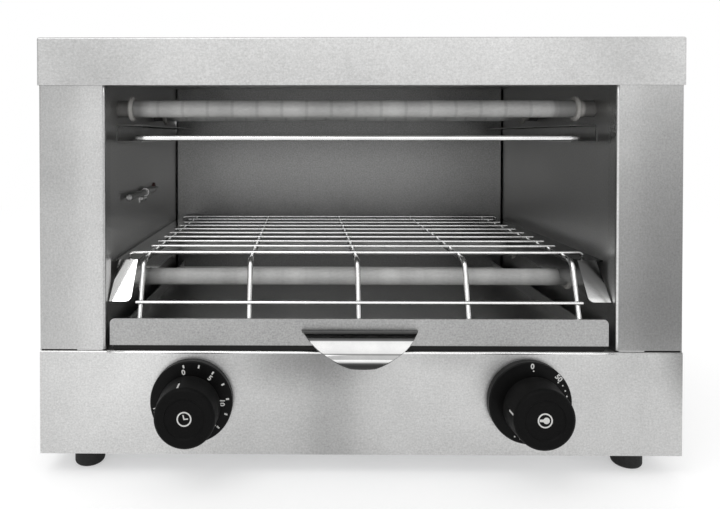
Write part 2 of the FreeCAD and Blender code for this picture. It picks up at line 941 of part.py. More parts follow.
# Nut that clamps the dial and the panel to the control
def shaft_nut(x):
    return hex_nut(vec(x, dial_front, control_height), -back, nut_width, nut_height, bush_diameter + 2 * nut_fit)


# Knob: a hub, a tapered round grip with a dished front, and a groove for the pointer line
def knob(x, angle):
    base = -dial_front
    rear = base + knob_rear_gap
    grip = base + grip_rear_gap
    front = base + grip_front_gap
    rear_radius = grip_rear_diameter / 2
    front_radius = grip_front_diameter / 2
    steps = 4
    rim = []
    for step in range(steps + 1):
        turn = step * math.pi / 2 / steps
        along = front - grip_edge + grip_edge * math.sin(turn)
        rim.append((along, front_radius - grip_edge + grip_edge * math.cos(turn)))
    profile = [(rear, 0), (rear, hub_diameter / 2), (grip, hub_diameter / 2), (grip, rear_radius - dial_edge)]
    profile += [(grip + dial_edge, rear_radius)] + rim
    profile += [(front, knob_dish_diameter / 2), (front - knob_dish, knob_dish_diameter / 2 - knob_dish)]
    profile += [(front - knob_dish, 0)]
    body = turned(profile, vec(x, 0, control_height), -back, up)
    bore_front = knob_front + knob_bore_end
    bore_length = -rear - bore_front
    bore = bar(vec(x, bore_front, control_height), back, bore_length + overrun, shaft_diameter + shaft_fit)
    flat_z = control_height + shaft_diameter / 3 + shaft_fit
    wide = shaft_diameter
    key = block(x - wide, x + wide, bore_front - overrun, bore_front + bore_length + overrun, flat_z, top)
    body = body.cut(bore.cut(key))
    length = (front - grip) * pointer_length_share
    outer = front_radius + (rear_radius - front_radius) * pointer_length_share
    groove = block(
        x - pointer_width / 2,
        x + pointer_width / 2,
        knob_front + grip_edge,
        knob_front + length,
        control_height + front_radius - pointer_depth,
        control_height + outer + overrun,
    )
    body = body.cut(groove)
    body.rotate(vec(x, 0, control_height), back, angle)
    return body


# Sensing bulb of the thermostat with rounded ends
def thermostat_bulb():
    radius = bulb_diameter / 2
    edge = radius / 2
    profile = [
        (0, 0),
        (0, radius - edge),
        (edge, radius),
        (bulb_length - edge, radius),
        (bulb_length, radius - edge),
        (bulb_length, 0),
    ]
    return turned(profile, vec(bulb_x, bulb_front_y, bulb_height), back, up)


def clip_screw_rows():
    first = clip_from_front + clip_screw_inset
    return [first, first + clip_screw_pitch]


# Sheet clip: a loop round the bulb and a tab screwed to the wall
def bulb_clip():
    inner = bulb_diameter / 2 + clip_fit
    outer = inner + clip_sheet
    start = vec(bulb_x, clip_from_front, bulb_height)
    loop = bar(start, back, clip_width, 2 * outer)
    wall = -cavity_half
    neck = block(wall, bulb_x, start.y, start.y + clip_width, bulb_height - clip_sheet, bulb_height + clip_sheet)
    tab = block(wall, wall + clip_sheet, start.y, start.y + clip_width, bulb_height - clip_drop, bulb_height + clip_sheet)
    clip = loop.fuse([neck, tab]).removeSplitter()
    clip = clip.cut(bar(start - back * overrun, back, clip_width + 2 * overrun, 2 * inner))
    for y in clip_screw_rows():
        hole = vec(wall - overrun, y, bulb_height - clip_screw_drop)
        clip = clip.cut(bar(hole, right, clip_sheet + 2 * overrun, clip_screw_diameter + 2 * shaft_fit))
    return clip


def clip_screws():
    screws = []
    for y in clip_screw_rows():
        seat = vec(-cavity_half + clip_sheet, y, bulb_height - clip_screw_drop)
        screws.append(pan_screw(
            seat, -right, clip_screw_diameter, clip_screw_length,
            clip_screw_head, clip_screw_head_height, clip_screw_head_height / 3,
        ))
    return screws


# Thin tube from the thermostat, behind the timer, up the left side and through the wall to the bulb
def capillary():
    side = control_x - thermostat_width / 2
    start_y = sheet + thermostat_depth - control_corner * 2
    points = [
        vec(side, start_y, capillary_low_z),
        vec(capillary_step_x, start_y, capillary_low_z),
        vec(capillary_step_x, capillary_entry_y, capillary_low_z),
        vec(-capillary_riser_x, capillary_entry_y, capillary_low_z),
        vec(-capillary_riser_x, capillary_entry_y, bulb_height),
        vec(bulb_x, capillary_entry_y, bulb_height),
        vec(bulb_x, bulb_rear_y, bulb_height),
    ]
    radii = [0] + [capillary_bend] * 4 + [bulb_from_wall - liner, 0]
    path = Part.Wire(rounded_edges(points, radii, False))
    ring = Part.Circle(points[0], points[1] - points[0], capillary_diameter / 2).toShape()
    return path.makePipeShell([Part.Wire(ring)], True, False)


# Rubber ring that lines the capillary's hole in the wall
def grommet():
    bore = grommet_bore / 2
    lip = grommet_diameter / 2
    groove = grommet_groove / 2
    profile = [
        (-liner - grommet_lip, bore),
        (-liner - grommet_lip, lip),
        (-liner, lip),
        (-liner, groove),
        (0, groove),
        (0, lip),
        (grommet_lip, lip),
        (grommet_lip, bore),
    ]
    return turned(profile, vec(-cavity_half, capillary_entry_y, bulb_height), right, up)


# Mains terminal block on the floor, stepped, with a screw well over each pole
def terminal_block():
    left = gland_x - block_width / 2
    low = block(left, left + block_width, block_y, block_y + block_depth, base_top, base_top + block_height - block_step)
    core_y = block_y + block_step
    core = block(left, left + block_width, core_y, block_y + block_depth - block_step, base_top, base_top + block_height)
    body = low.fuse(core).removeSplitter()
    pitch = block_width / block_pole_count
    for pole in range(block_pole_count):
        x = left + pitch / 2 + pole * pitch
        well = vec(x, block_y + block_depth / 2, base_top + block_height - block_well_depth)
        body = body.cut(bar(well, up, block_well_depth + overrun, block_well))
    return body


# Leads from the block to the two controls and one between the controls
def control_wiring():
    timer_rear = sheet + timer_depth
    thermostat_rear = sheet + thermostat_depth
    pole = block_width / block_pole_count
    near = gland_x - pole
    live = [
        vec(near, block_y, lead_low_z),
        vec(near, lead_turn_y, lead_low_z),
        vec(control_x - tap_offset, lead_near_y, lead_mid_z),
        vec(control_x - tap_offset, thermostat_rear, lead_mid_z),
    ]
    far = near - pole / 3
    cross = [
        vec(far, block_y, lead_low_z),
        vec(far, lead_cross_y, lead_low_z),
        vec(-control_x + feed_offset, lead_turn_y, lead_low_z + tap_offset),
        vec(-control_x + tap_offset, lead_near_y, lead_mid_z),
        vec(-control_x + tap_offset, timer_rear, lead_mid_z),
    ]
    link = [
        vec(-control_x - tap_offset, timer_rear, lead_link_z),
        vec(-control_x - tap_offset, lead_link_y, lead_link_z),
        vec(control_x + tap_offset, lead_link_y, lead_link_z),
        vec(control_x + tap_offset, thermostat_rear, lead_link_z),
    ]
    return [bent_wire(points, lead_bend, lead_diameter) for points in (live, cross, link)]


# Leads at one side: a link between each pair of tubes, a riser between the links and a feed from below
def tube_wiring(side, control_rear):
    half_lead = lead_diameter / 2
    x = side * link_x
    leads = []
    for front_y, rear_y, z in (
        (upper_front_tube_y, upper_rear_tube_y, upper_tube_height),
        (lower_front_tube_y, lower_rear_tube_y, lower_tube_height),
    ):
        points = [vec(side * stud_end, front_y, z), vec(x, front_y, z), vec(x, rear_y, z), vec(side * stud_end, rear_y, z)]
        leads.append(bent_wire(points, link_bend, lead_diameter))
    low = lower_tube_height + half_lead
    high = upper_tube_height - half_lead
    leads.append(bar(vec(x, riser_y, low), up, high - low, lead_diameter))
    feed = [
        vec(x, feed_y, lower_tube_height - half_lead),
        vec(x, feed_y, feed_low_z),
        vec(side * (control_x + feed_offset), feed_turn_y, feed_low_z),
        vec(side * (control_x + feed_offset), control_rear, feed_low_z),
    ]
    leads.append(bent_wire(feed, lead_bend, lead_diameter))
    return leads


# Gland: a threaded stem, a hexagon against the back and a domed nut, with a clear bore for a lead
def cable_gland():
    face = vec(gland_x, back_face, gland_height)
    stem_start = face - back * gland_thread_length
    stem = bar(stem_start, back, gland_thread_length, gland_thread)
    hexagon = hex_nut(face, back, gland_hex, gland_hex_height, gland_bore)
    dome_start = face + back * gland_hex_height
    radius = gland_dome / 2
    edge = gland_dome_edge
    profile = [
        (0, 0),
        (0, radius),
        (gland_dome_height - edge, radius),
        (gland_dome_height - edge / 3, radius - edge / 3),
        (gland_dome_height, radius - edge),
        (gland_dome_height, 0),
    ]
    dome = turned(profile, dome_start, back, up)
    gland = stem.fuse([hexagon, dome]).removeSplitter()
    length = gland_thread_length + gland_hex_height + gland_dome_height + 2 * overrun
    return gland.cut(bar(stem_start - back * overrun, back, length, gland_bore))


def gland_nut():
    start = vec(gland_x, back_inner, gland_height)
    return hex_nut(start, -back, gland_hex, gland_nut_height, gland_thread + 2 * nut_fit)


def casing_screws():
    screws = []
    for place in back_screw_places() + lid_screw_places():
        screws.append(pan_screw(
            place, -back, screw_diameter, screw_length, screw_head, screw_head_height, screw_head_edge,
        ))
    return screws


# Tray pan: a floor, four walls, low at the rear so that it passes under the rack
def crumb_tray():
    half = tray_width / 2
    floor = panel_top + tray_float
    rear = cavity_depth - fit_gap
    pan = block(-half, half, sheet, rear, floor, floor + liner)
    pan = pan.fuse([
        block(-half, half, sheet, sheet + liner, floor, floor + tray_front_wall),
        block(-half, half, rear - liner, rear, floor, floor + tray_rear_height),
        block(-half, -half + liner, sheet, rear, floor, floor + tray_side_height),
        block(half - liner, half, sheet, rear, floor, floor + tray_side_height),
    ]).removeSplitter()
    lows = picked(pan, lambda p, s: p.z < floor + liner / 2 and s.Length > tray_width / 2 and abs(s.y) > 0)
    pan = pan.makeFillet(liner / 2, lows)
    pan.translate(right * tray_shift)
    for x in rivet_columns():
        start = vec(x, 0, rivet_z())
        pan = pan.cut(bar(start, back, 2 * overrun, rivet_diameter + 2 * shaft_fit))
    return pan


# Front plate of the tray with round top corners and a hem along its top
def tray_front():
    half = tray_front_width / 2
    high = tray_front_bottom + tray_front_height
    points = [
        vec(-half, 0, tray_front_bottom),
        vec(half, 0, tray_front_bottom),
        vec(half, 0, high),
        vec(-half, 0, high),
    ]
    plate = rounded_face(points, [0, 0, tray_front_corner, tray_front_corner]).extrude(back * sheet)
    inset = tray_front_corner + liner
    hem = block(-half + inset, half - inset, sheet, 2 * sheet, high - tray_hem, high)
    plate = plate.fuse(hem).removeSplitter()
    plate.translate(right * tray_shift)
    for x in rivet_columns():
        plate = plate.cut(bar(vec(x, -overrun, rivet_z()), back, 3 * overrun, rivet_diameter + 2 * shaft_fit))
    return plate


def rivet_columns():
    return [-rivet_spacing / 2, rivet_spacing / 2]


def rivet_z():
    return handle_top - handle_sheet - handle_tab / 2


# Handle: sheet bent out from the plate and over in two turns, cut to a D
def tray_handle():
    top_line = handle_top
    inner = handle_bend
    outer = handle_bend + handle_sheet / 2
    mid = outer
    first = math.radians(handle_first_turn)
    second = math.radians(handle_second_turn)
    # Middle line of the sheet in (y, z), from the foot of the tab to the tip
    tab_y = -handle_sheet / 2
    z_mid = top_line - handle_sheet / 2
    start = vec(0, tab_y, z_mid - handle_tab)
    corner = vec(0, tab_y, z_mid)
    flat_end = vec(0, -handle_root, z_mid)
    centre = flat_end - up * mid
    bend_end = centre + vec(0, -mid * math.sin(first), mid * math.cos(first))
    heading = vec(0, -math.cos(first), -math.sin(first))
    straight_end = bend_end + heading * handle_flat
    down = vec(0, math.sin(first), -math.cos(first))
    centre_two = straight_end + down * mid
    total = first + second
    tip = centre_two + vec(0, -mid * math.sin(total), mid * math.cos(total))
    half_turn = first / 2
    crown_one = centre + vec(0, -mid * math.sin(half_turn), mid * math.cos(half_turn))
    half_two = first + second / 2
    crown_two = centre_two + vec(0, -mid * math.sin(half_two), mid * math.cos(half_two))
    root_bend = bend_radius + handle_sheet / 2
    root = rounded_edges([start, corner, flat_end], [0, root_bend, 0], False)
    edges = root + [
        Part.Arc(flat_end, crown_one, bend_end).toShape(),
        Part.LineSegment(bend_end, straight_end).toShape(),
        Part.Arc(straight_end, crown_two, tip).toShape(),
    ]
    path = Part.Wire(edges)
    half = handle_width / 2
    thick = handle_sheet / 2
    section_points = [
        start + vec(-half, -thick, 0),
        start + vec(half, -thick, 0),
        start + vec(half, thick, 0),
        start + vec(-half, thick, 0),
    ]
    section = Part.makePolygon(section_points + section_points[:1])
    strip = path.makePipeShell([section], True, False)
    # D shaped cutter, square to the line from root to tip
    root_point = vec(0, 0, top_line)
    fall = tip - root_point
    depth = fall.Length + thick / 2
    fall.normalize()
    across = fall.cross(right)
    radius = half * half / (2 * depth) + depth / 2
    left_end = root_point - right * half
    right_end = root_point + right * half
    bottom = root_point + fall * depth
    rise = root_point - fall * handle_sheet
    far = inner + handle_reach
    outline = [
        Part.LineSegment(rise - right * half, rise + right * half).toShape(),
        Part.LineSegment(rise + right * half, right_end).toShape(),
        Part.Arc(right_end, bottom, left_end).toShape(),
        Part.LineSegment(left_end, rise - right * half).toShape(),
    ]
    cutter = Part.Face(Part.Wire(outline)).extrude(across * (2 * far))
    cutter.translate(across * -far)
    handle = strip.common(cutter)
    tab_half = rivet_spacing / 2 + rivet_head
    tab = block(-tab_half, tab_half, -handle_sheet, 0, z_mid - handle_tab, z_mid - root_bend)
    lip_only = block(-half, half, -2 * far, 0, z_mid - root_bend, top_line + overrun)
    forward = block(-half, half, -2 * far, -handle_sheet, 0, top_line + overrun)
    handle = handle.common(lip_only.fuse(forward))
    handle = handle.fuse(tab).removeSplitter()
    for x in rivet_columns():
        handle = handle.cut(bar(vec(x, -overrun, rivet_z()), back, 2 * overrun, rivet_diameter + 2 * shaft_fit))
    print("handle arc radius", round(radius, 1))
    return handle


def handle_rivets():
    rivets = []
    for x in rivet_columns():
        seat = vec(x, -handle_sheet, rivet_z())
        length = handle_sheet + sheet + liner + rivet_tail
        profile = [
            (-rivet_head_height, 0),
            (-rivet_head_height, rivet_head / 4),
            (0, rivet_head / 2),
            (0, rivet_diameter / 2),
            (length - rivet_tail, rivet_diameter / 2),
            (length - rivet_tail, rivet_tail_width / 2),
            (length, rivet_tail_width / 4),
            (length, 0),
        ]
        rivets.append(turned(profile, seat, back, up))
    return rivets


def apron_y(z):
    long_z = rack_height - (cross_wire + long_wire) / 2 + weld_sink
    return apron_bend_y - (long_z - z) * apron_run_share


# Welded rack: wires across, heavier wires underneath that bend down at the front as an apron,
# each biting a little into the other where they are welded
def wire_rack():
    long_z = rack_height - (cross_wire + long_wire) / 2 + weld_sink
    rows = [rack_second_y + n * rack_pitch for n in range(cross_wires_behind)]
    rear = rows[-1] + long_wire_rear_past
    half = cross_wire_length / 2
    wires = []
    for y in rows[:-1]:
        wires.append(bar(vec(-half, y, rack_height), right, cross_wire_length, cross_wire))
    # First and last wires, their tips bent down to rest on the ledges
    tip_z = ledge_top + fit_gap
    for y in (rack_front_y, rows[-1]):
        points = [
            vec(-tip_x, y, tip_z),
            vec(-tip_x, y, rack_height),
            vec(tip_x, y, rack_height),
            vec(tip_x, y, tip_z),
        ]
        wires.append(bent_wire(points, tip_bend, cross_wire))
    # Heavier wires
    first = -(long_wire_count - 1) * long_wire_pitch / 2
    for number in range(long_wire_count):
        x = first + number * long_wire_pitch
        points = [
            vec(x, rear, long_z),
            vec(x, apron_bend_y, long_z),
            vec(x, apron_y(apron_bottom_z), apron_bottom_z),
        ]
        wires.append(bent_wire(points, apron_bend, long_wire))
    # Wire across the front of the apron
    slope = vec(0, -apron_run_share, -turn_unit)
    slope.normalize()
    outward = right.cross(slope)
    spacing = (cross_wire + long_wire) / 2 - weld_sink
    centre = vec(0, apron_y(apron_wire_z), apron_wire_z) - outward * spacing
    if centre.y > apron_y(apron_wire_z):
        centre = vec(0, apron_y(apron_wire_z), apron_wire_z) + outward * spacing
    start = centre - right * (apron_wire_length / 2)
    wires.append(bar(start, right, apron_wire_length, cross_wire))
    return wires


# Guard under the upper tubes: a wire bent to a U with lighter bars across it
def upper_guard():
    z = guard_height
    points = [
        vec(-guard_half_width, guard_rear_y, z),
        vec(-guard_half_width, guard_front_y, z),
        vec(guard_half_width, guard_front_y, z),
        vec(guard_half_width, guard_rear_y, z),
    ]
    frame = bent_wire(points, guard_bend, guard_wire)
    half = guard_half_width - guard_wire / 2 + weld_sink
    bars = []
    for number in range(guard_bar_count):
        y = guard_front_y + (number + 1) * guard_bar_pitch
        bars.append(bar(vec(-half, y, z), right, 2 * half, guard_bar))
    return frame.fuse(bars)


def build():
    os.makedirs("parts", exist_ok=True)
    write("top_cover", top_cover())
    write("side_panel_right", side_panel())
    write("side_panel_left", mirrored(side_panel()))
    write("control_panel", control_panel())
    write("base_pan", base_pan())
    write("back_panel", back_panel())
    write("mid_shelf", mid_shelf())
    write("cavity_wall_right", cavity_wall())
    write("cavity_wall_left", left_cavity_wall())
    write("cavity_back", cavity_back())
    write("upper_reflector", upper_reflector())
    write("rack_ledge_right", rack_ledge())
    write("rack_ledge_left", mirrored(rack_ledge()))
    write("guard_rail_right", guard_rail())
    write("guard_rail_left", mirrored(guard_rail()))
    for name, y, z, shift, reach in tube_places():
        write("quartz_tube_" + name, quartz_tube(y, z, shift, reach))
        coil_shift = upper_coil_shift if z > rack_height else 0
        write("heating_coil_" + name, heating_coil(y, z, shift, reach, coil_shift))
        write("tube_caps_" + name, tube_cap(y, z, shift, reach), mirrored(tube_cap(y, z, -shift, reach)))
    write("tube_terminals", *tube_terminals())
    for number, (x, y) in enumerate(foot_places()):
        row = "front" if number < 2 else "rear"
        hand = "left" if x < 0 else "right"
        write("foot_" + row + "_" + hand, foot(x, y))
    write("foot_screws", *[foot_screw(x, y) for x, y in foot_places()])
    write("casing_screws", *casing_screws())
    write("timer_body", control_body(-control_x, timer_width, timer_height, timer_depth))
    write("timer_shaft", shaft(-control_x, timer_pointer_angle))
    write("timer_dial", dial(-control_x))
    write("timer_knob", knob(-control_x, timer_pointer_angle))
    write("thermostat_body", control_body(control_x, thermostat_width, thermostat_height, thermostat_depth))
    write("thermostat_shaft", shaft(control_x, thermostat_pointer_angle))
    write("thermostat_dial", dial(control_x))
    write("thermostat_knob", knob(control_x, thermostat_pointer_angle))
    write("shaft_nuts", shaft_nut(-control_x), shaft_nut(control_x))
    write("thermostat_bulb", thermostat_bulb())
    write("thermostat_capillary", capillary())
    write("capillary_grommet", grommet())
    write("bulb_clip", bulb_clip())
    write("bulb_clip_screws", *clip_screws())
    write("terminal_block", terminal_block())
    write("control_wiring", *control_wiring())
    write("tube_wiring_left", *tube_wiring(-1, sheet + timer_depth))
    write("tube_wiring_right", *tube_wiring(1, sheet + thermostat_depth))
    write("cable_gland", cable_gland())
    write("gland_nut", gland_nut())
    write("crumb_tray", crumb_tray())
    write("tray_front", tray_front())
    write("tray_handle", tray_handle())
    write("handle_rivets", *handle_rivets())
    write("wire_rack", *wire_rack())
    write("upper_guard", upper_guard())
    print("front plane at y", round(front_shift, 3), "overall height", round(top, 2))


build()
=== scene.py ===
import json
import math
import bpy
import bmesh
import numpy as np
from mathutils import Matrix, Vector


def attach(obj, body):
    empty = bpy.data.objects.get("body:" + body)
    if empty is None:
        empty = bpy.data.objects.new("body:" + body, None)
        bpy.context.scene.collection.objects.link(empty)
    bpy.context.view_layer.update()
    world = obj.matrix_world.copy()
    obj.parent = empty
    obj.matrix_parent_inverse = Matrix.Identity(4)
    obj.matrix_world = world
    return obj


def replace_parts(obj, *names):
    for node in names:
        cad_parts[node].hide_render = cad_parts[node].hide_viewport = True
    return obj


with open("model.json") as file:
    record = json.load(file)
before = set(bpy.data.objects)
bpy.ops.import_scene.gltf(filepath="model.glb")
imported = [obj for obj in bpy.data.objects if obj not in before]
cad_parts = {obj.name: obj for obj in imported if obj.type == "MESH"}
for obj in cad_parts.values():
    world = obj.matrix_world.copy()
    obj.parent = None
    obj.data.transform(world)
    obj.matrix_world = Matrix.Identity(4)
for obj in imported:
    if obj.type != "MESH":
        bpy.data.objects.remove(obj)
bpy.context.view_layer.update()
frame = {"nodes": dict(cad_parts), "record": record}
nodes = frame["nodes"]
print("frame loaded:", len(nodes), "nodes")

# Pieces are drawn in millimetres with y = 0 at the casing's front face
mm = 0.001
frontShift = -133.2
mergeDistance = 1e-7
flatArea = 1e-14
upAxis = np.array([0.0, 0.0, 1.0])
acrossAxis = np.array([1.0, 0.0, 0.0])
depthAxis = np.array([0.0, 1.0, 0.0])


def placed(points):
    return (np.asarray(points, float) + depthAxis * frontShift) * mm


# Angles of a whole turn, without the last, which is the first again
def fullTurn(sides):
    return np.linspace(0, 2 * math.pi, sides, endpoint=False)


def addObject(name, data):
    holder = bpy.data.objects.new(name, data)
    bpy.context.scene.collection.objects.link(holder)
    return holder


# Quads of a grid of rows and columns, closed round the columns
def gridFaces(rows, columns):
    r = np.arange(rows - 1)[:, None] * columns
    c = np.arange(columns)[None, :]
    following = (c + 1) % columns
    return np.stack([r + c, r + following, r + columns + following, r + columns + c], -1).reshape(-1, 4)


# A mesh from millimetre points: doubles merged, faces without area dropped, the rest turned outwards
def meshOf(name, points, faces, smooth=True):
    mesh = bpy.data.meshes.new(name)
    mesh.from_pydata(placed(points).tolist(), [], [list(map(int, f)) for f in faces])
    made = bmesh.new()
    made.from_mesh(mesh)
    bmesh.ops.remove_doubles(made, verts=made.verts, dist=mergeDistance)
    flat = [f for f in made.faces if f.calc_area() < flatArea]
    bmesh.ops.delete(made, geom=flat, context="FACES_ONLY")
    bmesh.ops.recalc_face_normals(made, faces=made.faces)
    made.to_mesh(mesh)
    made.free()
    mesh.polygons.foreach_set("use_smooth", [smooth] * len(mesh.polygons))
    return mesh


# Several (points, faces) surfaces as one piece
def joined(parts):
    points, faces, start = [], [], 0
    for partPoints, partFaces in parts:
        points.append(np.asarray(partPoints, float))
        faces += [[int(i) + start for i in f] for f in partFaces]
        start += len(partPoints)
    return np.concatenate(points), faces


def newPiece(name, parts, body, finish, smooth=True, sharpAngle=None):
    mesh = meshOf(name, *joined(parts), smooth)
    if sharpAngle:
        mesh.set_sharp_from_angle(angle=math.radians(sharpAngle))
    piece = addObject(name, mesh)
    mesh.materials.append(finishes[finish])
    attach(piece, body)
    return piece


# Straight runs joined by arcs of the bend radius, as one line of points
def filleted(corners, bend, arcSteps=8):
    corners = np.asarray(corners, float)
    line = [corners[0]]
    for before, corner, after in zip(corners, corners[1:], corners[2:]):
        arrive = (corner - before) / np.linalg.norm(corner - before)
        leave = (after - corner) / np.linalg.norm(after - corner)
        turn = math.acos(float(np.clip(arrive @ leave, -1, 1)))
        reach = bend * math.tan(turn / 2)
        inward = (leave - arrive) / np.linalg.norm(leave - arrive)
        centre = corner + inward * (bend / math.cos(turn / 2))
        first = corner - arrive * reach - centre
        side = arrive * bend
        angles = np.linspace(0, turn, arcSteps + 1)[:, None]
        line += list(centre + first * np.cos(angles) + side * np.sin(angles))
    line.append(corners[-1])
    return np.array(line)


# Rings round a line of centres, centre + radius (first cos a + second sin a), closed to a point at both ends
def ringedSurface(centres, first, second, radii, sides):
    centres, first, second = [np.vstack([rows[:1], rows, rows[-1:]]) for rows in (centres, first, second)]
    radii = np.concatenate([[0.0], radii, [0.0]])[:, None, None]
    angle = fullTurn(sides)[None, :, None]
    ring = first[:, None, :] * np.cos(angle) + second[:, None, :] * np.sin(angle)
    return (centres[:, None, :] + ring * radii).reshape(-1, 3), gridFaces(len(centres), sides)


# A circle carried along a line that lies in a plane. The end rings shrink on a quarter turn, so that each end is a
# rounded stub, and the support rings before it keep the wire's shading straight.
def wireSurface(line, diameter, normal, sides=16, endRound=0.35, endRings=4, supports=(1.4, 0.3)):
    line = np.asarray(line, float)
    steps = np.diff(line, axis=0)
    steps /= np.linalg.norm(steps, axis=1)[:, None]
    tangent = np.vstack([steps[:1], steps[:-1] + steps[1:], steps[-1:]])
    tangent /= np.linalg.norm(tangent, axis=1)[:, None]
    radius = diameter / 2
    cut = endRound * radius
    quarter = np.linspace(0, math.pi / 2, endRings + 1)
    inset = np.concatenate([cut + np.array(supports), cut * (1 - np.sin(quarter))])[:, None]
    shrunk = np.concatenate([np.full(len(supports), radius), radius - cut + cut * np.cos(quarter)])
    centres = np.vstack([line[0] + tangent[0] * inset[::-1], line[1:-1], line[-1] - tangent[-1] * inset])
    radii = np.concatenate([shrunk[::-1], np.full(len(line) - 2, radius), shrunk])
    rings = len(inset)
    heads = np.vstack([np.repeat(tangent[:1], rings, 0), tangent[1:-1], np.repeat(tangent[-1:], rings, 0)])
    normals = np.broadcast_to(np.asarray(normal, float), heads.shape)
    return ringedSurface(centres, normals, np.cross(heads, normals), radii, sides)


# A profile of (along, radius) turned about an axis: origin + along axis + radius (side cos a + other sin a)
def turnedSurface(profile, origin, axis, side, sides):
    along, radius = np.asarray(profile, float).T[:, :, None, None]
    angle = fullTurn(sides)[:, None]
    ring = side * np.cos(angle) + np.cross(axis, side) * np.sin(angle)
    points = np.asarray(origin, float) + along * axis + radius * ring
    return points.reshape(-1, 3), gridFaces(len(profile), sides)


# A squashed ball: centre + radii times the point of the unit sphere at each latitude and longitude
def ballSurface(centre, radii, rows=7, columns=10):
    lat = np.linspace(-math.pi / 2, math.pi / 2, rows)[:, None]
    lon = fullTurn(columns)[None, :]
    unit = np.stack([np.cos(lat) * np.cos(lon), np.cos(lat) * np.sin(lon), np.sin(lat) + 0 * lon], -1)
    return (np.asarray(centre) + unit * np.asarray(radii)).reshape(-1, 3), gridFaces(rows, columns)


def newMaterial(name, values=()):
    material = bpy.data.materials.new(name)
    material.use_nodes = True
    shader = material.node_tree.nodes["Principled BSDF"]
    for socket, value in dict(values).items():
        shader.inputs[socket].default_value = value
    return material, material.node_tree, shader


def addNode(tree, kind, values=(), links=()):
    node = tree.nodes.new(kind)
    for socket, value in dict(values).items():
        if isinstance(socket, str) and not socket in node.inputs:
            setattr(node, socket, value)
        else:
            node.inputs[socket].default_value = value
    for socket, source in dict(links).items():
        tree.links.new(source, node.inputs[socket])
    return node


def objectPlace(tree, scale=(1, 1, 1), turn=(0, 0, 0), shift=(0, 0, 0)):
    place = addNode(tree, "ShaderNodeTexCoord")
    return addNode(tree, "ShaderNodeMapping", {"Scale": scale, "Rotation": turn, "Location": shift},
                   {"Vector": place.outputs["Object"]}).outputs["Vector"]


def noiseOf(tree, vector, scale, detail=3.0, roughness=0.55, distortion=0.0):
    values = {"Scale": scale, "Detail": detail, "Roughness": roughness, "Distortion": distortion}
    return addNode(tree, "ShaderNodeTexNoise", values, {"Vector": vector}).outputs["Fac"]


def between(tree, value, low, high, fromLow=0.0, fromHigh=1.0, kind="LINEAR"):
    limits = {"interpolation_type": kind, "From Min": fromLow, "From Max": fromHigh, "To Min": low, "To Max": high}
    return addNode(tree, "ShaderNodeMapRange", limits, {"Value": value}).outputs["Result"]


def maths(tree, operation, first, second=0.0):
    node = addNode(tree, "ShaderNodeMath", {"operation": operation})
    for number, value in enumerate((first, second)):
        if isinstance(value, (int, float)):
            node.inputs[number].default_value = value
        else:
            tree.links.new(value, node.inputs[number])
    return node.outputs["Value"]


def product(tree, first, *others):
    for other in others:
        first = maths(tree, "MULTIPLY", first, other)
    return first


# Two values, each times its share
def blended(tree, first, firstShare, second, secondShare):
    return maths(tree, "ADD", product(tree, first, firstShare), product(tree, second, secondShare))


def axisParts(tree):
    return addNode(tree, "ShaderNodeSeparateXYZ", {}, {"Vector": objectPlace(tree)}).outputs


def lengthOf(tree, vector):
    return addNode(tree, "ShaderNodeVectorMath", {"operation": "LENGTH"}, {0: vector}).outputs["Value"]


def scaled(tree, colour, share):
    return addNode(tree, "ShaderNodeVectorMath", {"operation": "SCALE"}, {0: colour, "Scale": share}).outputs[0]


def nearGrey(tree, tone, blueShare):
    parts = {"Red": tone, "Green": tone, "Blue": product(tree, tone, blueShare)}
    return addNode(tree, "ShaderNodeCombineColor", {}, parts).outputs["Color"]


def rampOf(tree, value, stops):
    node = addNode(tree, "ShaderNodeValToRGB", {}, {"Fac": value})
    ramp = node.color_ramp
    while len(ramp.elements) < len(stops):
        ramp.elements.new(0.5)
    for element, (position, colour) in zip(ramp.elements, stops):
        element.position = position
        element.color = (*colour, 1.0)
    return node.outputs["Color"]


# Colour, roughness and bump joined to a shader
def dress(tree, shader, colour, rough, height, strength, distance):
    bump = addNode(tree, "ShaderNodeBump", {"Strength": strength, "Distance": distance}, {"Height": height})
    tree.links.new(colour, shader.inputs["Base Color"])
    tree.links.new(rough, shader.inputs["Roughness"])
    tree.links.new(bump.outputs["Normal"], shader.inputs["Normal"])


def grey(value, tint=(1.0, 1.0, 1.0)):
    return tuple(value * t for t in tint)


# Satin sheet: a fine grain drawn out one way, specks, soft clouds from handling, and a faint waviness
sheetLook = {
    "tone": 0.60,
    "blueShare": 0.993,
    "grainSpread": 0.08,
    "speckSpread": 0.17,
    "cloudSpread": 0.12,
    "roughLow": 0.30,
    "roughHigh": 0.44,
    "roughFrom": (0.45, 0.95),
    "grainRough": 0.4,
    "grainLength": 260.0,
    "grainWidth": 1500.0,
    "speckScale": 750.0,
    "cloudScale": 10.0,
    "waveScale": 12.0,
    "grainHeight": 0.02,
    "bump": (0.35, 0.0006),
}
frontFade = (-0.1325, -0.1295)


# Painted shade on a pillar's inner faces, where they lie: behind its front and inside the opening's edge
def hollowMask(tree, look):
    place = axisParts(tree)
    inside = maths(tree, "LESS_THAN", maths(tree, "ABSOLUTE", place["X"]), look["hollowHalf"])
    return product(tree, inside, maths(tree, "GREATER_THAN", place["Y"], look["hollowFront"]))


# Outer and front rims of a bracket, darkened with painted shade: past a half width, or before a depth
def rimDarkened(tree, tone, look):
    place = axisParts(tree)
    outer = maths(tree, "GREATER_THAN", maths(tree, "ABSOLUTE", place["X"]), look["rimHalf"])
    front = maths(tree, "LESS_THAN", place["Y"], look["rimFront"])
    return product(tree, tone, between(tree, maths(tree, "MAXIMUM", outer, front), 1.0, look["rimShare"]))
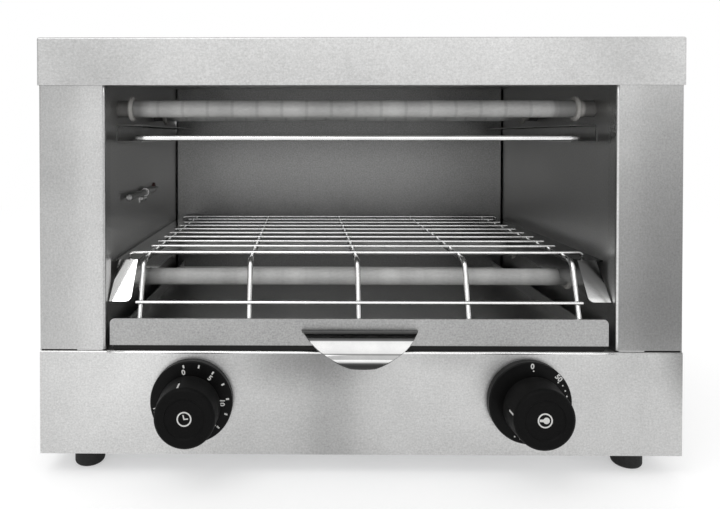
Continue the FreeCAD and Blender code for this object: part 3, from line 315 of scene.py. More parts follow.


# A low edge in the tray's gap, darkened with painted shade
def lowDarkened(tree, tone, look):
    place = axisParts(tree)
    low = maths(tree, "LESS_THAN", place["Z"], look["lowHeight"])
    front = maths(tree, "LESS_THAN", place["Y"], look["lowBehind"])
    return product(tree, tone, between(tree, product(tree, low, front), 1.0, look["lowTone"]))


# Painted light and shade as broad tones over a sheet: a ramp of shares over a slanting line, given in mm, on the
# front face only, where "frontOnly" is set. The curve holds half of each share, since it ends at 1.
def rampShaded(tree, tone, ramp):
    place = axisParts(tree)
    other = {"X": "Z", "Z": "X"}[ramp["axis"]]
    along = maths(tree, "ADD", place[ramp["axis"]], product(tree, place[other], ramp.get("slant", 0.0)))
    stops = ramp["stops"]
    low, high = stops[0][0], stops[-1][0]
    node = addNode(tree, "ShaderNodeFloatCurve", {}, {"Value": between(tree, along, 0.0, 1.0, low * mm, high * mm)})
    curve = node.mapping.curves[0]
    for number, (position, level) in enumerate(stops):
        where = ((position - low) / (high - low), level / 2)
        if number in (0, len(stops) - 1):
            curve.points[-1 if number else 0].location = where
        else:
            curve.points.new(*where)
    node.mapping.update()
    factor = product(tree, node.outputs["Value"], 2.0)
    if ramp.get("frontOnly"):
        front = between(tree, place["Y"], 1.0, 0.0, *frontFade)
        factor = maths(tree, "ADD", product(tree, maths(tree, "SUBTRACT", factor, 1.0), front), 1.0)
    return product(tree, tone, factor)


# A soft round patch of painted shade: the share grows back to 1 at its radius
def paintedPatch(tree, tone, smudge):
    place = objectPlace(tree)
    for operation, values in (("SUBTRACT", smudge["centre"]), ("DIVIDE", smudge["radii"])):
        constants = {"operation": operation, 1: tuple(v * mm for v in values)}
        place = addNode(tree, "ShaderNodeVectorMath", constants, {0: place}).outputs[0]
    return product(tree, tone, between(tree, lengthOf(tree, place), smudge["share"], 1.0, kind="SMOOTHSTEP"))


def sheetMaterial(name, grainAxis, look=sheetLook, **changes):
    look = {**look, **changes}
    material, tree, shader = newMaterial(name, {"Metallic": 1.0})
    scale = [look["grainWidth"]] * 3
    scale[grainAxis] = look["grainLength"]
    grain = noiseOf(tree, objectPlace(tree, scale), 1.0, roughness=0.6)
    cloud = noiseOf(tree, objectPlace(tree), look["cloudScale"], detail=4.0, roughness=0.6, distortion=0.4)
    wave = noiseOf(tree, objectPlace(tree), look["waveScale"], detail=1.0, roughness=0.4)
    speck = noiseOf(tree, objectPlace(tree), look["speckScale"], detail=2.0, roughness=0.7)
    shares = [(grain, look["grainSpread"]), (speck, look["speckSpread"]), (cloud, look["cloudSpread"])]
    tone = look["tone"] - sum(spread for _, spread in shares)
    for value, spread in shares:
        tone = maths(tree, "ADD", product(tree, value, 2 * spread), tone)
    roughness = blended(tree, cloud, 1.0, grain, look["grainRough"])
    rough = between(tree, roughness, look["roughLow"], look["roughHigh"], *look["roughFrom"])
    # Painted shade on the pillars' inner faces
    if "hollowTone" in look:
        hollow = hollowMask(tree, look)
        tone = product(tree, tone, between(tree, hollow, 1.0, look["hollowTone"]))
        rough = product(tree, rough, between(tree, hollow, 1.0, look["hollowGloss"]))
    # Painted shade on bracket rims
    if "rimShare" in look:
        tone = rimDarkened(tree, tone, look)
    # Painted shade in the tray's gap
    if "lowTone" in look:
        tone = lowDarkened(tree, tone, look)
    # Ramps of painted light and shade
    for ramp in look.get("ramps", ()):
        tone = rampShaded(tree, tone, ramp)
    # Patches of painted shade
    for smudge in look.get("smudges", ()):
        tone = paintedPatch(tree, tone, smudge)
    height = blended(tree, grain, look["grainHeight"], wave, 1.0)
    dress(tree, shader, nearGrey(tree, tone, look["blueShare"]), rough, height, *look["bump"])
    return material


galvanisedLook = {
    "cellScale": 90.0,
    "dustScale": 30.0,
    "stops": [(0.2, (0.36, 0.37, 0.38)), (0.8, (0.58, 0.59, 0.60))],
    "rough": (0.38, 0.58),
    "bump": (0.15, 0.0003),
}


# Galvanised sheet: spangle cells of slightly different tone
def galvanisedMaterial(name, look):
    material, tree, shader = newMaterial(name, {"Metallic": 1.0})
    place = objectPlace(tree)
    cells = addNode(tree, "ShaderNodeTexVoronoi", {"Scale": look["cellScale"], "Randomness": 1.0}, {"Vector": place})
    cellTone = addNode(tree, "ShaderNodeSeparateColor", {}, {"Color": cells.outputs["Color"]}).outputs[0]
    dust = noiseOf(tree, place, look["dustScale"], detail=4.0)
    colour = rampOf(tree, blended(tree, cellTone, 0.5, dust, 0.5), look["stops"])
    dress(tree, shader, colour, between(tree, cellTone, *look["rough"]), dust, *look["bump"])
    return material


brightLook = {
    "blotchScale": 60.0,
    "dullShare": 0.86,
    "tint": (1.0, 1.0, 0.99),
    "roughFrom": (0.1, 0.45),
    "bumpDistance": 0.0002,
}


# Bright drawn wire and polished sheet: fine draw lines and a few dull specks. Where "under" is given, what lies
# below a height and behind a depth is made darker.
def brightMaterial(name, tone, roughLow, roughHigh, scale=(400, 400, 400), bump=0.05, under=None, ramp=None):
    look = brightLook
    material, tree, shader = newMaterial(name, {"Metallic": 1.0})
    fine = noiseOf(tree, objectPlace(tree, scale), 1.0, roughness=0.6)
    blotch = noiseOf(tree, objectPlace(tree), look["blotchScale"], roughness=0.6)
    colour = rampOf(tree, blotch, [(0.3, grey(tone * look["dullShare"])), (0.7, grey(tone, look["tint"]))])
    if under:
        place = axisParts(tree)
        low = maths(tree, "LESS_THAN", place["Z"], under["top"])
        behind = maths(tree, "GREATER_THAN", place["Y"], under["behind"])
        colour = scaled(tree, colour, between(tree, product(tree, low, behind), 1.0, under["share"]))
    # Where a ramp is given, the colour follows a ramp of painted light and shade
    if ramp:
        colour = scaled(tree, colour, rampShaded(tree, 1.0, ramp))
    rough = between(tree, product(tree, fine, blotch), roughLow, roughHigh, *look["roughFrom"])
    dress(tree, shader, colour, rough, fine, bump, look["bumpDistance"])
    return material


quartzLook = {
    "coilCentre": -0.005,
    "coilHalf": 0.150,
    "fade": 0.008,
    "milk": 0.42,
    "bandShare": 0.45,
    "speckShare": 0.25,
    "blueShare": 0.985,
    "endShare": 0.42,
    "supportPitch": 0.0187,
    "supportWidth": 0.09,
    "supportCore": 0.4,
    "supportShare": 0.84,
    "rough": (0.28, 0.45),
    "bump": (0.08, 0.0002),
}


# Milky quartz: cloudy where the coil lies behind it, clearer past the coil's ends, with the coil's supports
# showing as faint rings at an even pitch
def quartzMaterial(name, look):
    material, tree, shader = newMaterial(name, {"IOR": 1.46, "Transmission Weight": 0.3})
    along = axisParts(tree)["X"]
    away = maths(tree, "ABSOLUTE", maths(tree, "SUBTRACT", along, look["coilCentre"]))
    wound = between(tree, away, 1.0, look["endShare"], look["coilHalf"], look["coilHalf"] + look["fade"])
    step = maths(tree, "FRACT", maths(tree, "DIVIDE", maths(tree, "ADD", along, 1.0), look["supportPitch"]))
    fromRing = maths(tree, "ABSOLUTE", maths(tree, "SUBTRACT", step, 0.5))
    width = look["supportWidth"]
    ring = between(tree, fromRing, look["supportShare"], 1.0, width * look["supportCore"], width)
    bands = noiseOf(tree, objectPlace(tree, (55, 1, 1)), 1.0, detail=1.0, roughness=0.3)
    specks = noiseOf(tree, objectPlace(tree, (300, 700, 700)), 1.0, roughness=0.6)
    cloud = blended(tree, bands, look["bandShare"], specks, look["speckShare"])
    tone = product(tree, maths(tree, "ADD", cloud, look["milk"]), wound, ring)
    colour = nearGrey(tree, tone, look["blueShare"])
    dress(tree, shader, colour, between(tree, specks, *look["rough"]), specks, *look["bump"])
    return material


ceramicLook = {
    "grainScale": 900.0,
    "stainScale": 45.0,
    "stops": [(0.3, (0.34, 0.33, 0.31)), (0.6, (0.50, 0.49, 0.47))],
    "collarShare": 0.3,
    "collarFrom": (0.1705, 0.1725),
    "rough": (0.45, 0.65),
    "bump": (0.12, 0.0002),
}


# Steatite: off-white with fine grains and faint browning, darker behind the collar
def ceramicMaterial(name, look):
    material, tree, shader = newMaterial(name, {"IOR": 1.5})
    place = objectPlace(tree)
    grains = noiseOf(tree, place, look["grainScale"], detail=2.0)
    stain = noiseOf(tree, place, look["stainScale"], detail=4.0)
    colour = rampOf(tree, blended(tree, grains, 0.3, stain, 0.7), look["stops"])
    # Darker past the collar
    away = maths(tree, "ABSOLUTE", axisParts(tree)["X"])
    colour = scaled(tree, colour, between(tree, away, 1.0, look["collarShare"], *look["collarFrom"]))
    dress(tree, shader, colour, between(tree, grains, *look["rough"]), grains, *look["bump"])
    return material


dullLook = {"smudgeScale": 55.0, "smudgeFrom": (0.3, 0.7), "bumpDistance": 0.0002}


# Dull non-metal: a base tone with specks and a pebbled surface
def dullMaterial(name, low, high, roughLow, roughHigh, scale, bump, specular=0.5):
    look = dullLook
    material, tree, shader = newMaterial(name, {"Specular IOR Level": specular})
    place = objectPlace(tree)
    pebble = noiseOf(tree, place, scale, roughness=0.6)
    smudge = noiseOf(tree, place, look["smudgeScale"], roughness=0.6, distortion=0.3)
    colour = rampOf(tree, blended(tree, pebble, 0.5, smudge, 0.5), list(zip(look["smudgeFrom"], (low, high))))
    rough = between(tree, smudge, roughLow, roughHigh, *look["smudgeFrom"])
    dress(tree, shader, colour, rough, pebble, bump, look["bumpDistance"])
    return material


braidLook = {
    "turn": 0.7,
    "strandScale": 700.0,
    "unevenness": 0.6,
    "stops": [(0.0, (0.42, 0.39, 0.32)), (0.7, (0.74, 0.71, 0.62))],
    "rough": (0.9, 0.7),
    "bump": (0.4, 0.0004),
}


# Glass braid sleeve: two sets of slanting strands
def braidMaterial(name, look):
    material, tree, shader = newMaterial(name)
    values = {"Scale": look["strandScale"], "Distortion": look["unevenness"]}
    strands = []
    for turn in (look["turn"], -look["turn"]):
        vector = objectPlace(tree, turn=(turn, turn, 0))
        strands.append(addNode(tree, "ShaderNodeTexWave", values, {"Vector": vector}).outputs["Fac"])
    weave = product(tree, *strands)
    dress(tree, shader, rampOf(tree, weave, look["stops"]), between(tree, weave, *look["rough"]), weave, *look["bump"])
    return material


linerLook = {**sheetLook, "grainSpread": 0.02, "speckSpread": 0.12, "cloudSpread": 0.08}
# Painted reflection and shade across the top cover's front
coverRamp = {
    "axis": "X",
    "slant": 0.5,
    "stops": [(-80, 0.9), (-45, 0.80), (0, 0.86), (90, 0.92), (200, 0.95), (290, 1.08), (332, 1.0), (370, 1.18)],
}
# Painted light and shade across the control panel
panelRamp = {
    "axis": "X",
    "stops": [(-225, 1.12), (-150, 1.2), (-85, 1.02), (-42, 0.95), (-20, 0.8), (5, 0.95), (60, 1.08), (130, 1.04),
              (225, 1.0)],
}
# Patches of painted shade on the control panel
panelPaintedPatches = [
    {"centre": (-40, -133, 84), "radii": (66, 40, 34), "share": 0.55},
    {"centre": (234, -133, 84), "radii": (34, 60, 52), "share": 0.45},
    {"centre": (62, -133, 88), "radii": (46, 40, 20), "share": 0.78},
]
# Painted light and shade on the pillars' fronts: the left darker at its outer edge and towards the top, the right
# darker towards the bottom and lighter at its inner edge
leftRamp = {"axis": "X", "frontOnly": True, "stops": [(-226, 0.86), (-205, 0.92), (-185, 1.08), (-176, 1.0)]}
leftRise = {"axis": "Z", "frontOnly": True, "stops": [(88, 0.97), (200, 0.94), (275, 0.85)]}
rightRamp = {
    "axis": "Z",
    "frontOnly": True,
    "stops": [(88, 0.50), (106, 0.42), (150, 0.45), (200, 0.57), (240, 0.78), (275, 0.92)],
}
edgeRamp = {"axis": "X", "frontOnly": True, "stops": [(176, 1.15), (188, 1.1), (200, 0.96), (226, 0.92)]}
handleRamp = {
    # Painted reflections on the polished handle: bright and grey bands between dark ones, by height
    "axis": "Z",
    "stops": [(82, 0.10), (87.0, 0.12), (88.2, 0.55), (91.4, 0.62), (92.0, 0.3), (92.7, 1.0), (98.6, 1.05),
              (99.1, 0.2), (103, 0.10)],
}
# Painted shade on the back wall, darker towards the bottom
backRamp = {"axis": "Z", "stops": [(88, 0.6), (140, 0.7), (165, 1.0), (290, 1.06)]}
# Painted shade on the pillars' inner return faces
pillarHollow = {"hollowHalf": 0.1786, "hollowFront": -0.1327, "hollowTone": 0.85, "hollowGloss": 0.8}
# Painted shade in the tray's gap, low and at the front
trayGapShade = {"lowHeight": 0.0924, "lowBehind": -0.125, "lowTone": 0.03}
# Painted shade on the rails' front rims and the ledges' outer rims
railRims = {"rimHalf": 0.3, "rimFront": -0.0976, "rimShare": 0.2}
ledgeRims = {"rimHalf": 0.1772, "rimFront": -1.0, "rimShare": 0.12}
leftGloss = {"grainSpread": 0.02, "speckSpread": 0.02, "cloudSpread": 0.03, "roughLow": 0.07, "roughHigh": 0.12}
rightGloss = {"speckSpread": 0.05, "cloudSpread": 0.05, "roughLow": 0.12, "roughHigh": 0.22}
# Painted shade and reflection on the right ledge: darker towards the top and outer side, lighter at the bottom
rightLedgeRamps = [
    {"axis": "Z", "slant": 0.8, "stops": [(240, 1.1), (256, 0.95), (262, 0.6), (267, 0.28), (275, 0.14), (300, 0.12)]},
    {"axis": "Z", "stops": [(120, 1.7), (122.5, 1.5), (125, 1.0), (150, 1.0)]},
]
rackUnder = {"top": 0.14868, "behind": -0.107, "share": 0.15}
lowerQuartzLook = {**quartzLook, "coilCentre": 0.0, "supportShare": 0.96, "fade": 0.012, "milk": 0.35}
# Name, darkest and lightest colour, roughness from and to, grain of the surface, bump, and its own shine if any
dullLooks = {
    "resistance_wire": ("heatingWire", (0.24, 0.23, 0.22), (0.40, 0.39, 0.37), 0.45, 0.7, 900.0, 0.2),
    "black_rubber": ("footRubber", grey(0.010), grey(0.024), 0.6, 0.85, 700.0, 0.25, 0.3),
    "red_silicone": ("siliconeRing", (0.06, 0.028, 0.024), (0.11, 0.045, 0.038), 0.5, 0.7, 500.0, 0.15),
    "black_plastic": ("knobPhenolic", grey(0.002), grey(0.006), 0.40, 0.60, 900.0, 0.12, 0.07),
    "grey_plastic": ("controlCase", (0.14, 0.14, 0.15), (0.22, 0.22, 0.23), 0.5, 0.65, 500.0, 0.1),
    "black_nylon": ("glandNylon", (0.015, 0.015, 0.016), (0.04, 0.04, 0.04), 0.4, 0.55, 500.0, 0.1),
    "black_dial": ("dialBlack", grey(0.003), grey(0.007), 0.32, 0.48, 800.0, 0.06, 0.09),
    "white_print": ("dialPrint", (0.52, 0.52, 0.51), (0.74, 0.74, 0.72), 0.5, 0.7, 1500.0, 0.1),
}
finishes = {
    # Painted light and shade: the casing's sheets are one stainless, given a lighter or darker tone on each part, with
    # painted ramps and patches, for how the light falls on each
    "coverSheet": sheetMaterial("coverSheet", 0, tone=0.56, ramps=[coverRamp]),
    "leftHem": sheetMaterial("leftHemSheet", 2, tone=0.44),
    "rightHem": sheetMaterial("rightHemSheet", 2, tone=0.66),
    "panelHem": sheetMaterial("panelHemSheet", 0, tone=0.90, roughLow=0.16, roughHigh=0.26),
    "panelSheet": sheetMaterial("panelSheet", 0, tone=0.52, cloudSpread=0.14, ramps=[panelRamp], smudges=panelPaintedPatches),
    "trayFrontSheet": sheetMaterial("trayFrontSheet", 0, tone=0.37),
    "leftSheet": sheetMaterial("leftSheet", 2, tone=0.535, ramps=[leftRamp, leftRise], **pillarHollow),
    "rightSheet": sheetMaterial("rightSheet", 2, tone=0.56, ramps=[rightRamp, edgeRamp], **pillarHollow),
    "outerSheet": sheetMaterial("outerSheet", 0, tone=0.58),
    # Painted light and shade: the liner is one sheet, given a different tone on each part for how much light reaches it
    "wallLiner": sheetMaterial("wallLiner", 2, linerLook, tone=0.53),
    "backLiner": sheetMaterial("backLiner", 2, linerLook, tone=0.25, cloudSpread=0.08, ramps=[backRamp]),
    "ceilingLiner": sheetMaterial("ceilingLiner", 0, linerLook, tone=0.60),
    "trayLiner": sheetMaterial("trayLiner", 0, linerLook, tone=0.66, **trayGapShade),
    "railLiner": sheetMaterial("railLiner", 1, linerLook, tone=0.60, **railRims),
    # Painted light: the ledges are one sheet, the left made near white and glossy, the right darker with ramps
    "leftLedge": sheetMaterial("leftLedgeSheet", 1, tone=0.92, **leftGloss, **ledgeRims),
    "rightLedge": sheetMaterial("rightLedgeSheet", 1, tone=0.55, ramps=rightLedgeRamps, **rightGloss, **ledgeRims),
    "galvanised_sheet": galvanisedMaterial("galvanisedSheet", galvanisedLook),
    "polished_steel": brightMaterial("polishedSheet", 0.84, 0.05, 0.14, (60, 900, 900), 0.03, ramp=handleRamp),
    "bright_wire": brightMaterial("brightWire", 0.88, 0.14, 0.30),
    "rackWire": brightMaterial("rackWire", 0.90, 0.14, 0.30, under=rackUnder),
    "zinc_steel": brightMaterial("zincPlate", 0.62, 0.25, 0.42),
    "copper": brightMaterial("dullCopper", 0.45, 0.3, 0.5),
    "milky_quartz": quartzMaterial("upperQuartz", quartzLook),
    "lowerQuartz": quartzMaterial("lowerQuartz", lowerQuartzLook),
    "ceramic": ceramicMaterial("steatite", ceramicLook),
    "braided_sleeve": braidMaterial("glassBraid", braidLook),
    **{slotName: dullMaterial(*values) for slotName, values in dullLooks.items()},
}
ownFinish = {
    "top_cover": "coverSheet",
    "control_panel": "panelSheet",
    "tray_front": "trayFrontSheet",
    "side_panel_left": "leftSheet",
    "side_panel_right": "rightSheet",
    "cavity_wall_left": "wallLiner",
    "cavity_wall_right": "wallLiner",
    "cavity_back": "backLiner",
    "upper_reflector": "ceilingLiner",
    "crumb_tray": "trayLiner",
    "guard_rail_left": "railLiner",
    "guard_rail_right": "railLiner",
    "rack_ledge_left": "leftLedge",
    "rack_ledge_right": "rightLedge",
    "quartz_tube_lower_front": "lowerQuartz",
    "quartz_tube_lower_rear": "lowerQuartz",
}
slotFinish = {"stainless_outer": "outerSheet", "stainless_liner": "wallLiner"}
slotOfNode = {s["node"]: s["material_slot"] for s in frame["record"]["subparts"]}


def finishOf(name):
    slotName = slotOfNode[name]
    return finishes[ownFinish.get(name, slotFinish.get(slotName, slotName))]


for name, thing in nodes.items():
    thing.data.materials.clear()
    thing.data.materials.append(finishOf(name))
print("finishes:", len(finishes))

rackWires = {
    "height": 150.0,
    "crossDiameter": 2.5,
    "longDiameter": 4.0,
    "longSides": 20,
    "weldBite": 0.15,
    "frontRow": 37.5,
    "secondRow": 65.0,
    "rearRow": 250.6,
    "rowsBehind": 9,
    "crossHalf": 161.2,
    "tipReach": 170.8,
    "tipBend": 2.9,
    "tipHeight": 147.1,
    "longCount": 5,
    "longHalf": 156.0,
    "rearPast": 3.0,
    "apronBend": 8.0,
    "apronCorner": 21.0,
    "apronShare": 0.32,
    "apronBottom": 101.0,
    "apronWire": 118.5,
    "apronHalf": 159.0,
    "apronArcSteps": 12,
    "weldRadii": (1.7, 1.9, 1.15),
    "apronWeldShift": (0.4, 0.12),
}


def rackPiece(look):
    z, bite, cross, thick = look["height"], look["weldBite"], look["crossDiameter"], look["longDiameter"]
    longZ = z - (cross + thick) / 2 + bite
    rows = np.linspace(look["secondRow"], look["rearRow"], look["rowsBehind"])
    columns = np.linspace(-look["longHalf"], look["longHalf"], look["longCount"])
    half, tip, low = look["crossHalf"], look["tipReach"], look["tipHeight"]
    wires = [[(-half, y, z), (0, y, z), (half, y, z)] for y in rows[:-1]]
    for y in (look["frontRow"], rows[-1]):
        wires.append(filleted([(-tip, y, low), (-tip, y, z), (tip, y, z), (tip, y, low)], look["tipBend"]))
    parts = [wireSurface(wire, cross, depthAxis) for wire in wires]
    corner, slope, bottom = look["apronCorner"], look["apronShare"], look["apronBottom"]
    apronY = lambda height: corner - (longZ - height) * slope
    for x in columns:
        bends = [(x, rows[-1] + look["rearPast"], longZ), (x, corner, longZ), (x, apronY(bottom), bottom)]
        wire = filleted(bends, look["apronBend"], look["apronArcSteps"])
        parts.append(wireSurface(wire, thick, acrossAxis, look["longSides"]))
    # The apron's cross wire stands in front of the long wires, square to their slope
    lean = math.hypot(slope, 1.0)
    stand = (cross + thick) / 2 - bite
    height = look["apronWire"]
    front = np.array([0.0, apronY(height) - stand / lean, height + stand * slope / lean])
    reach = acrossAxis * look["apronHalf"]
    parts.append(wireSurface([front - reach, front, front + reach], cross, depthAxis))
    # Squeezed metal at every weld
    wide, deep, tall = look["weldRadii"]
    back, down = look["apronWeldShift"]
    for x in columns:
        for y in [look["frontRow"], *rows]:
            parts.append(ballSurface((x, y, z - cross / 2), (wide, deep, tall)))
        parts.append(ballSurface((x, front[1] + stand * back, front[2] - stand * down), (wide, tall, deep)))
    piece = newPiece("rackWires", parts, "rack", "rackWire")
    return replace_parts(piece, "wire_rack")


guardWires = {
    "height": 236.4,
    "frameDiameter": 4.0,
    "frameSides": 20,
    "barDiameter": 2.5,
    "barBite": 0.2,
    "front": 22.0,
    "rear": 248.0,
    "half": 163.5,
    "bend": 10.0,
    "arcSteps": 14,
    "bars": 6,
    "barPitch": 36.0,
    "weldRadii": (1.2, 1.7, 1.7),
}


def guardPiece(look):
    z, half = look["height"], look["half"]
    corners = [(-half, look["rear"], z), (-half, look["front"], z), (half, look["front"], z), (half, look["rear"], z)]
    wire = filleted(corners, look["bend"], look["arcSteps"])
    parts = [wireSurface(wire, look["frameDiameter"], upAxis, look["frameSides"])]
    inner = half - look["frameDiameter"] / 2
    reach = inner + look["barBite"]
    for number in range(look["bars"]):
        y = look["front"] + (number + 1) * look["barPitch"]
        parts.append(wireSurface([(-reach, y, z), (0, y, z), (reach, y, z)], look["barDiameter"], upAxis))
        for side in (-1, 1):
            parts.append(ballSurface((side * inner, y, z), look["weldRadii"]))
    piece = newPiece("guardWires", parts, "guard", "bright_wire")
    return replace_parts(piece, "upper_guard")


rackPiece(rackWires)
guardPiece(guardWires)
print("rack and guard made")

foldSection = {"sides": 20, "rings": 24, "behind": 0.3}
hemLook = {"edge": 177.6, "width": 1.7, "proud": 0.55, "low": 88.9, "high": 273.0}
panelEdgeLook = {"half": 176.8, "top": 87.4, "width": 1.5, "proud": 0.45}


# A folded edge: a flat half round carried from one corner to another, width / 2 (1 + cos a) across the fold and
# proud times sin a forward, closed behind the sheet's face
def foldedEdge(name, corners, across, look, finish):
    sides = foldSection["sides"]
    angle = fullTurn(sides)[:, None]
    y = np.minimum(-look["proud"] * np.sin(angle), foldSection["behind"])
    section = across * (look["width"] / 2 * (1 + np.cos(angle))) + depthAxis * y
    line = np.linspace(*np.array(corners, float), foldSection["rings"])[:, None, :]
    ends = line[[0, -1]] + np.tile(across * look["width"] / 2, (sides, 1))
    points = np.concatenate([ends[:1], line + section, ends[1:]])
    surface = (points.reshape(-1, 3), gridFaces(len(points), sides))
    return newPiece(name, [surface], "casing", finish)


for side, word in ((-1, "Left"), (1, "Right")):
    corners = [(side * hemLook["edge"], 0, height) for height in (hemLook["low"], hemLook["high"])]
    foldedEdge("pillarHem" + word, corners, side * acrossAxis, hemLook, word.lower() + "Hem")
bottom = panelEdgeLook["top"] - panelEdgeLook["width"]
corners = [(side * panelEdgeLook["half"], 0, bottom) for side in (-1, 1)]
foldedEdge("panelTopEdge", corners, upAxis, panelEdgeLook, "panelHem")
print("hems folded")

screwLook = {
    "headRadius": 3.8,
    "headHeight": 2.4,
    "crown": 0.35,
    "edge": 0.7,
    "edgeStart": 0.2,
    "armLength": 2.1,
    "armWidth": 0.55,
    "armSlopes": (0.25, 0.3),
    "recess": 1.1,
    "shankRadius": 1.75,
    "shankLength": 7.0,
    "innerRing": 0.25,
    "rings": 22,
    "edgeRings": 6,
    "sides": 56,
    "firstTurn": 0.4,
    "turnStep": 0.9,
    "sharpAngle": 40,
}
backScrewPlaces = [(x, 283.0, z) for x in (-218.5, 218.5) for z in (41.2, 144.6, 248.0)]
lidScrewPlaces = [(x, 284.0, 289.9) for x in (-180.0, 0.0, 180.0)]


# A pan head on a polar grid: height is a dome that drops at the rim, less a cross shaped recess whose depth
# falls off smoothly from the middle line of each arm
def screwHead(look, place, turn):
    radius, edge, shank, depth = look["headRadius"], look["edge"], look["shankRadius"], look["shankLength"]
    rim = radius - edge
    edgeTurn = np.linspace(look["edgeStart"], math.pi / 2, look["edgeRings"])
    r = np.concatenate([[0.0], np.linspace(look["innerRing"], rim, look["rings"]), rim + edge * np.sin(edgeTurn)])
    a = fullTurn(look["sides"])
    rr, aa = np.meshgrid(r, a, indexing="ij")
    shoulder = np.clip((rr - rim) / edge, 0, 1)
    dome = look["headHeight"] - look["crown"] * (rr / radius) ** 2 - edge * (1 - np.sqrt(1 - shoulder ** 2))
    sideSlope, endSlope = look["armSlopes"]
    inside = lambda p, half, slope: np.clip((half - np.abs(p)) / slope + 0.5, 0, 1)
    arm = lambda p, q: inside(p, look["armWidth"], sideSlope) * inside(q, look["armLength"], endSlope)
    u, v = rr * np.cos(aa + turn), rr * np.sin(aa + turn)
    height = dome - look["recess"] * np.maximum(arm(u, v), arm(v, u))
    head = np.stack([rr * np.cos(aa), height, rr * np.sin(aa)], -1)
    foot = [(radius, 0.0), (shank, 0.0), (shank, -depth), (0.0, -depth)]
    rows = [np.stack([np.cos(a) * wide, np.full(len(a), y), np.sin(a) * wide], -1) for wide, y in foot]
    points = np.concatenate([head, np.array(rows)])
    return np.asarray(place) + points.reshape(-1, 3), gridFaces(len(points), look["sides"])


heads = [screwHead(screwLook, place, screwLook["firstTurn"] + screwLook["turnStep"] * number)
         for number, place in enumerate(backScrewPlaces + lidScrewPlaces)]
screws = newPiece("casingScrewHeads", heads, "casing", "zinc_steel",
                  sharpAngle=screwLook["sharpAngle"])
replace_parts(screws, "casing_screws")
print("screws made")

coilLook = {
    "wire": 1.0,
    "outer": 8.0,
    "half": 152.4,
    "pitch": 2.5,
    "stepsPerTurn": 12,
    "sides": 6,
    "tailSteps": 3,
    "closingTurns": 1.2,
}
coilNodes = {
    "heating_coil_upper_front": (-5.0, 42.0, 258.6, -172.5, 169.5),
    "heating_coil_upper_rear": (-5.0, 157.5, 258.6, -172.5, 169.5),
    "heating_coil_lower_front": (0.0, 63.0, 126.0, -172.5, 172.5),
    "heating_coil_lower_rear": (0.0, 190.0, 126.0, -172.5, 172.5),
}


# A wire wound on a helix: radius (cos a, sin a) in the tube's section while a grows along X; the winding
# closes on the axis at both ends and runs on as straight tails
def coilSurface(look, centreX, y, z, tailLeft, tailRight):
    turns = round(2 * look["half"] / look["pitch"])
    share = np.linspace(0, 1, turns * look["stepsPerTurn"] + 1)
    angle = 2 * math.pi * turns * share
    x = centreX - look["half"] + 2 * look["half"] * share
    edge = np.clip(np.minimum(share, 1 - share) * turns / look["closingTurns"], 0, 1)
    spread = (look["outer"] - look["wire"]) / 2 * edge * edge * (3 - 2 * edge)
    tail = np.linspace(0, 1, look["tailSteps"], endpoint=False)
    still = np.zeros(len(tail))
    x = np.concatenate([tailLeft + (x[0] - tailLeft) * tail, x, tailRight + (x[-1] - tailRight) * tail[::-1]])
    angle = np.concatenate([still, angle, still + angle[-1]])
    spread = np.concatenate([still, spread, still])
    outward = np.stack([0 * angle, np.cos(angle), np.sin(angle)], -1)
    centres = np.stack([x, y + 0 * x, z + 0 * x], -1) + outward * spread[:, None]
    heading = np.gradient(centres, axis=0)
    heading /= np.linalg.norm(heading, axis=1)[:, None]
    first = outward - heading * np.sum(outward * heading, 1)[:, None]
    first /= np.linalg.norm(first, axis=1)[:, None]
    return ringedSurface(centres, first, np.cross(heading, first), np.full(len(x), look["wire"] / 2), look["sides"])


for nodeName, place in coilNodes.items():
    piece = newPiece(nodeName.replace("heating_coil", "woundCoil"), [coilSurface(coilLook, *place)], "casing",
                     "resistance_wire")
    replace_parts(piece, nodeName)
print("coils wound")

dialPrint = {
    "face": -6.0,
    "thickness": 0.06,
    "tickInner": 24.2,
    "tickOuter": 26.4,
    "tickWidth": 1.15,
    "fontSize": 3.7 * 1.35,
    "fontSteps": 3,
    "numeralBold": 0.16,
    "numeralRadius": 21.3,
    "numeralSunk": 0.005,
    "dotRadius": 0.55,
}
timerMarks = {
    "centre": (-116.8, 54.0),
    "zeroAngle": -12.0,
    "stepAngle": 24.1,
    "tickCount": 8,
    "numerals": {"0": -14.2, "5": 37.6, "10": 90.0, "15": 136.5},
    "holdAngle": -102.5,
    "holdRadius": 25.0,
    "holdShift": 1.3,
    "holdBar": (0.7, -1.6, 1.6),
    "holdDot": 0.75,
    "pointerAngle": -14.0,
}
thermostatMarks = {
    "centre": (116.8, 54.0),
    "numerals": {"0": (2.5, 25.6), "50": (47.0, 26.0)},
    "firstDots": [(4.8, 22.6), (51.8, 23.8)],
    "dotStart": 60.0,
    "dotStep": 9.1,
    "dotCount": 17,
    "dotRing": 25.2,
    "pointerAngle": -82.0,
}
printSunk = 0.02  # how far print reaches into the face under it


# A flat plate from an outline in the dial's plane, of the print's thickness
def plateSurface(outline, centre, face, thickness):
    count = len(outline)
    back = np.stack([centre[0] + outline[:, 0], np.full(count, face + printSunk), centre[1] + outline[:, 1]], -1)
    front = back - depthAxis * (thickness + printSunk)
    sides = [[i, (i + 1) % count, count + (i + 1) % count, count + i] for i in range(count)]
    return np.vstack([back, front]), [list(range(count))[::-1], [count + i for i in range(count)]] + sides


# An outline moved out to a radius and turned clockwise, as seen from the front
def turnedOut(outline, angle, radius):
    a = math.radians(angle)
    outline = np.asarray(outline, float) + np.array([0.0, radius])
    return outline @ np.array([[math.cos(a), -math.sin(a)], [math.sin(a), math.cos(a)]])


def markSurface(look, centre, outline, angle=0.0, radius=0.0, raised=0.0):
    return plateSurface(turnedOut(outline, angle, radius), centre, look["face"], look["thickness"] + raised)


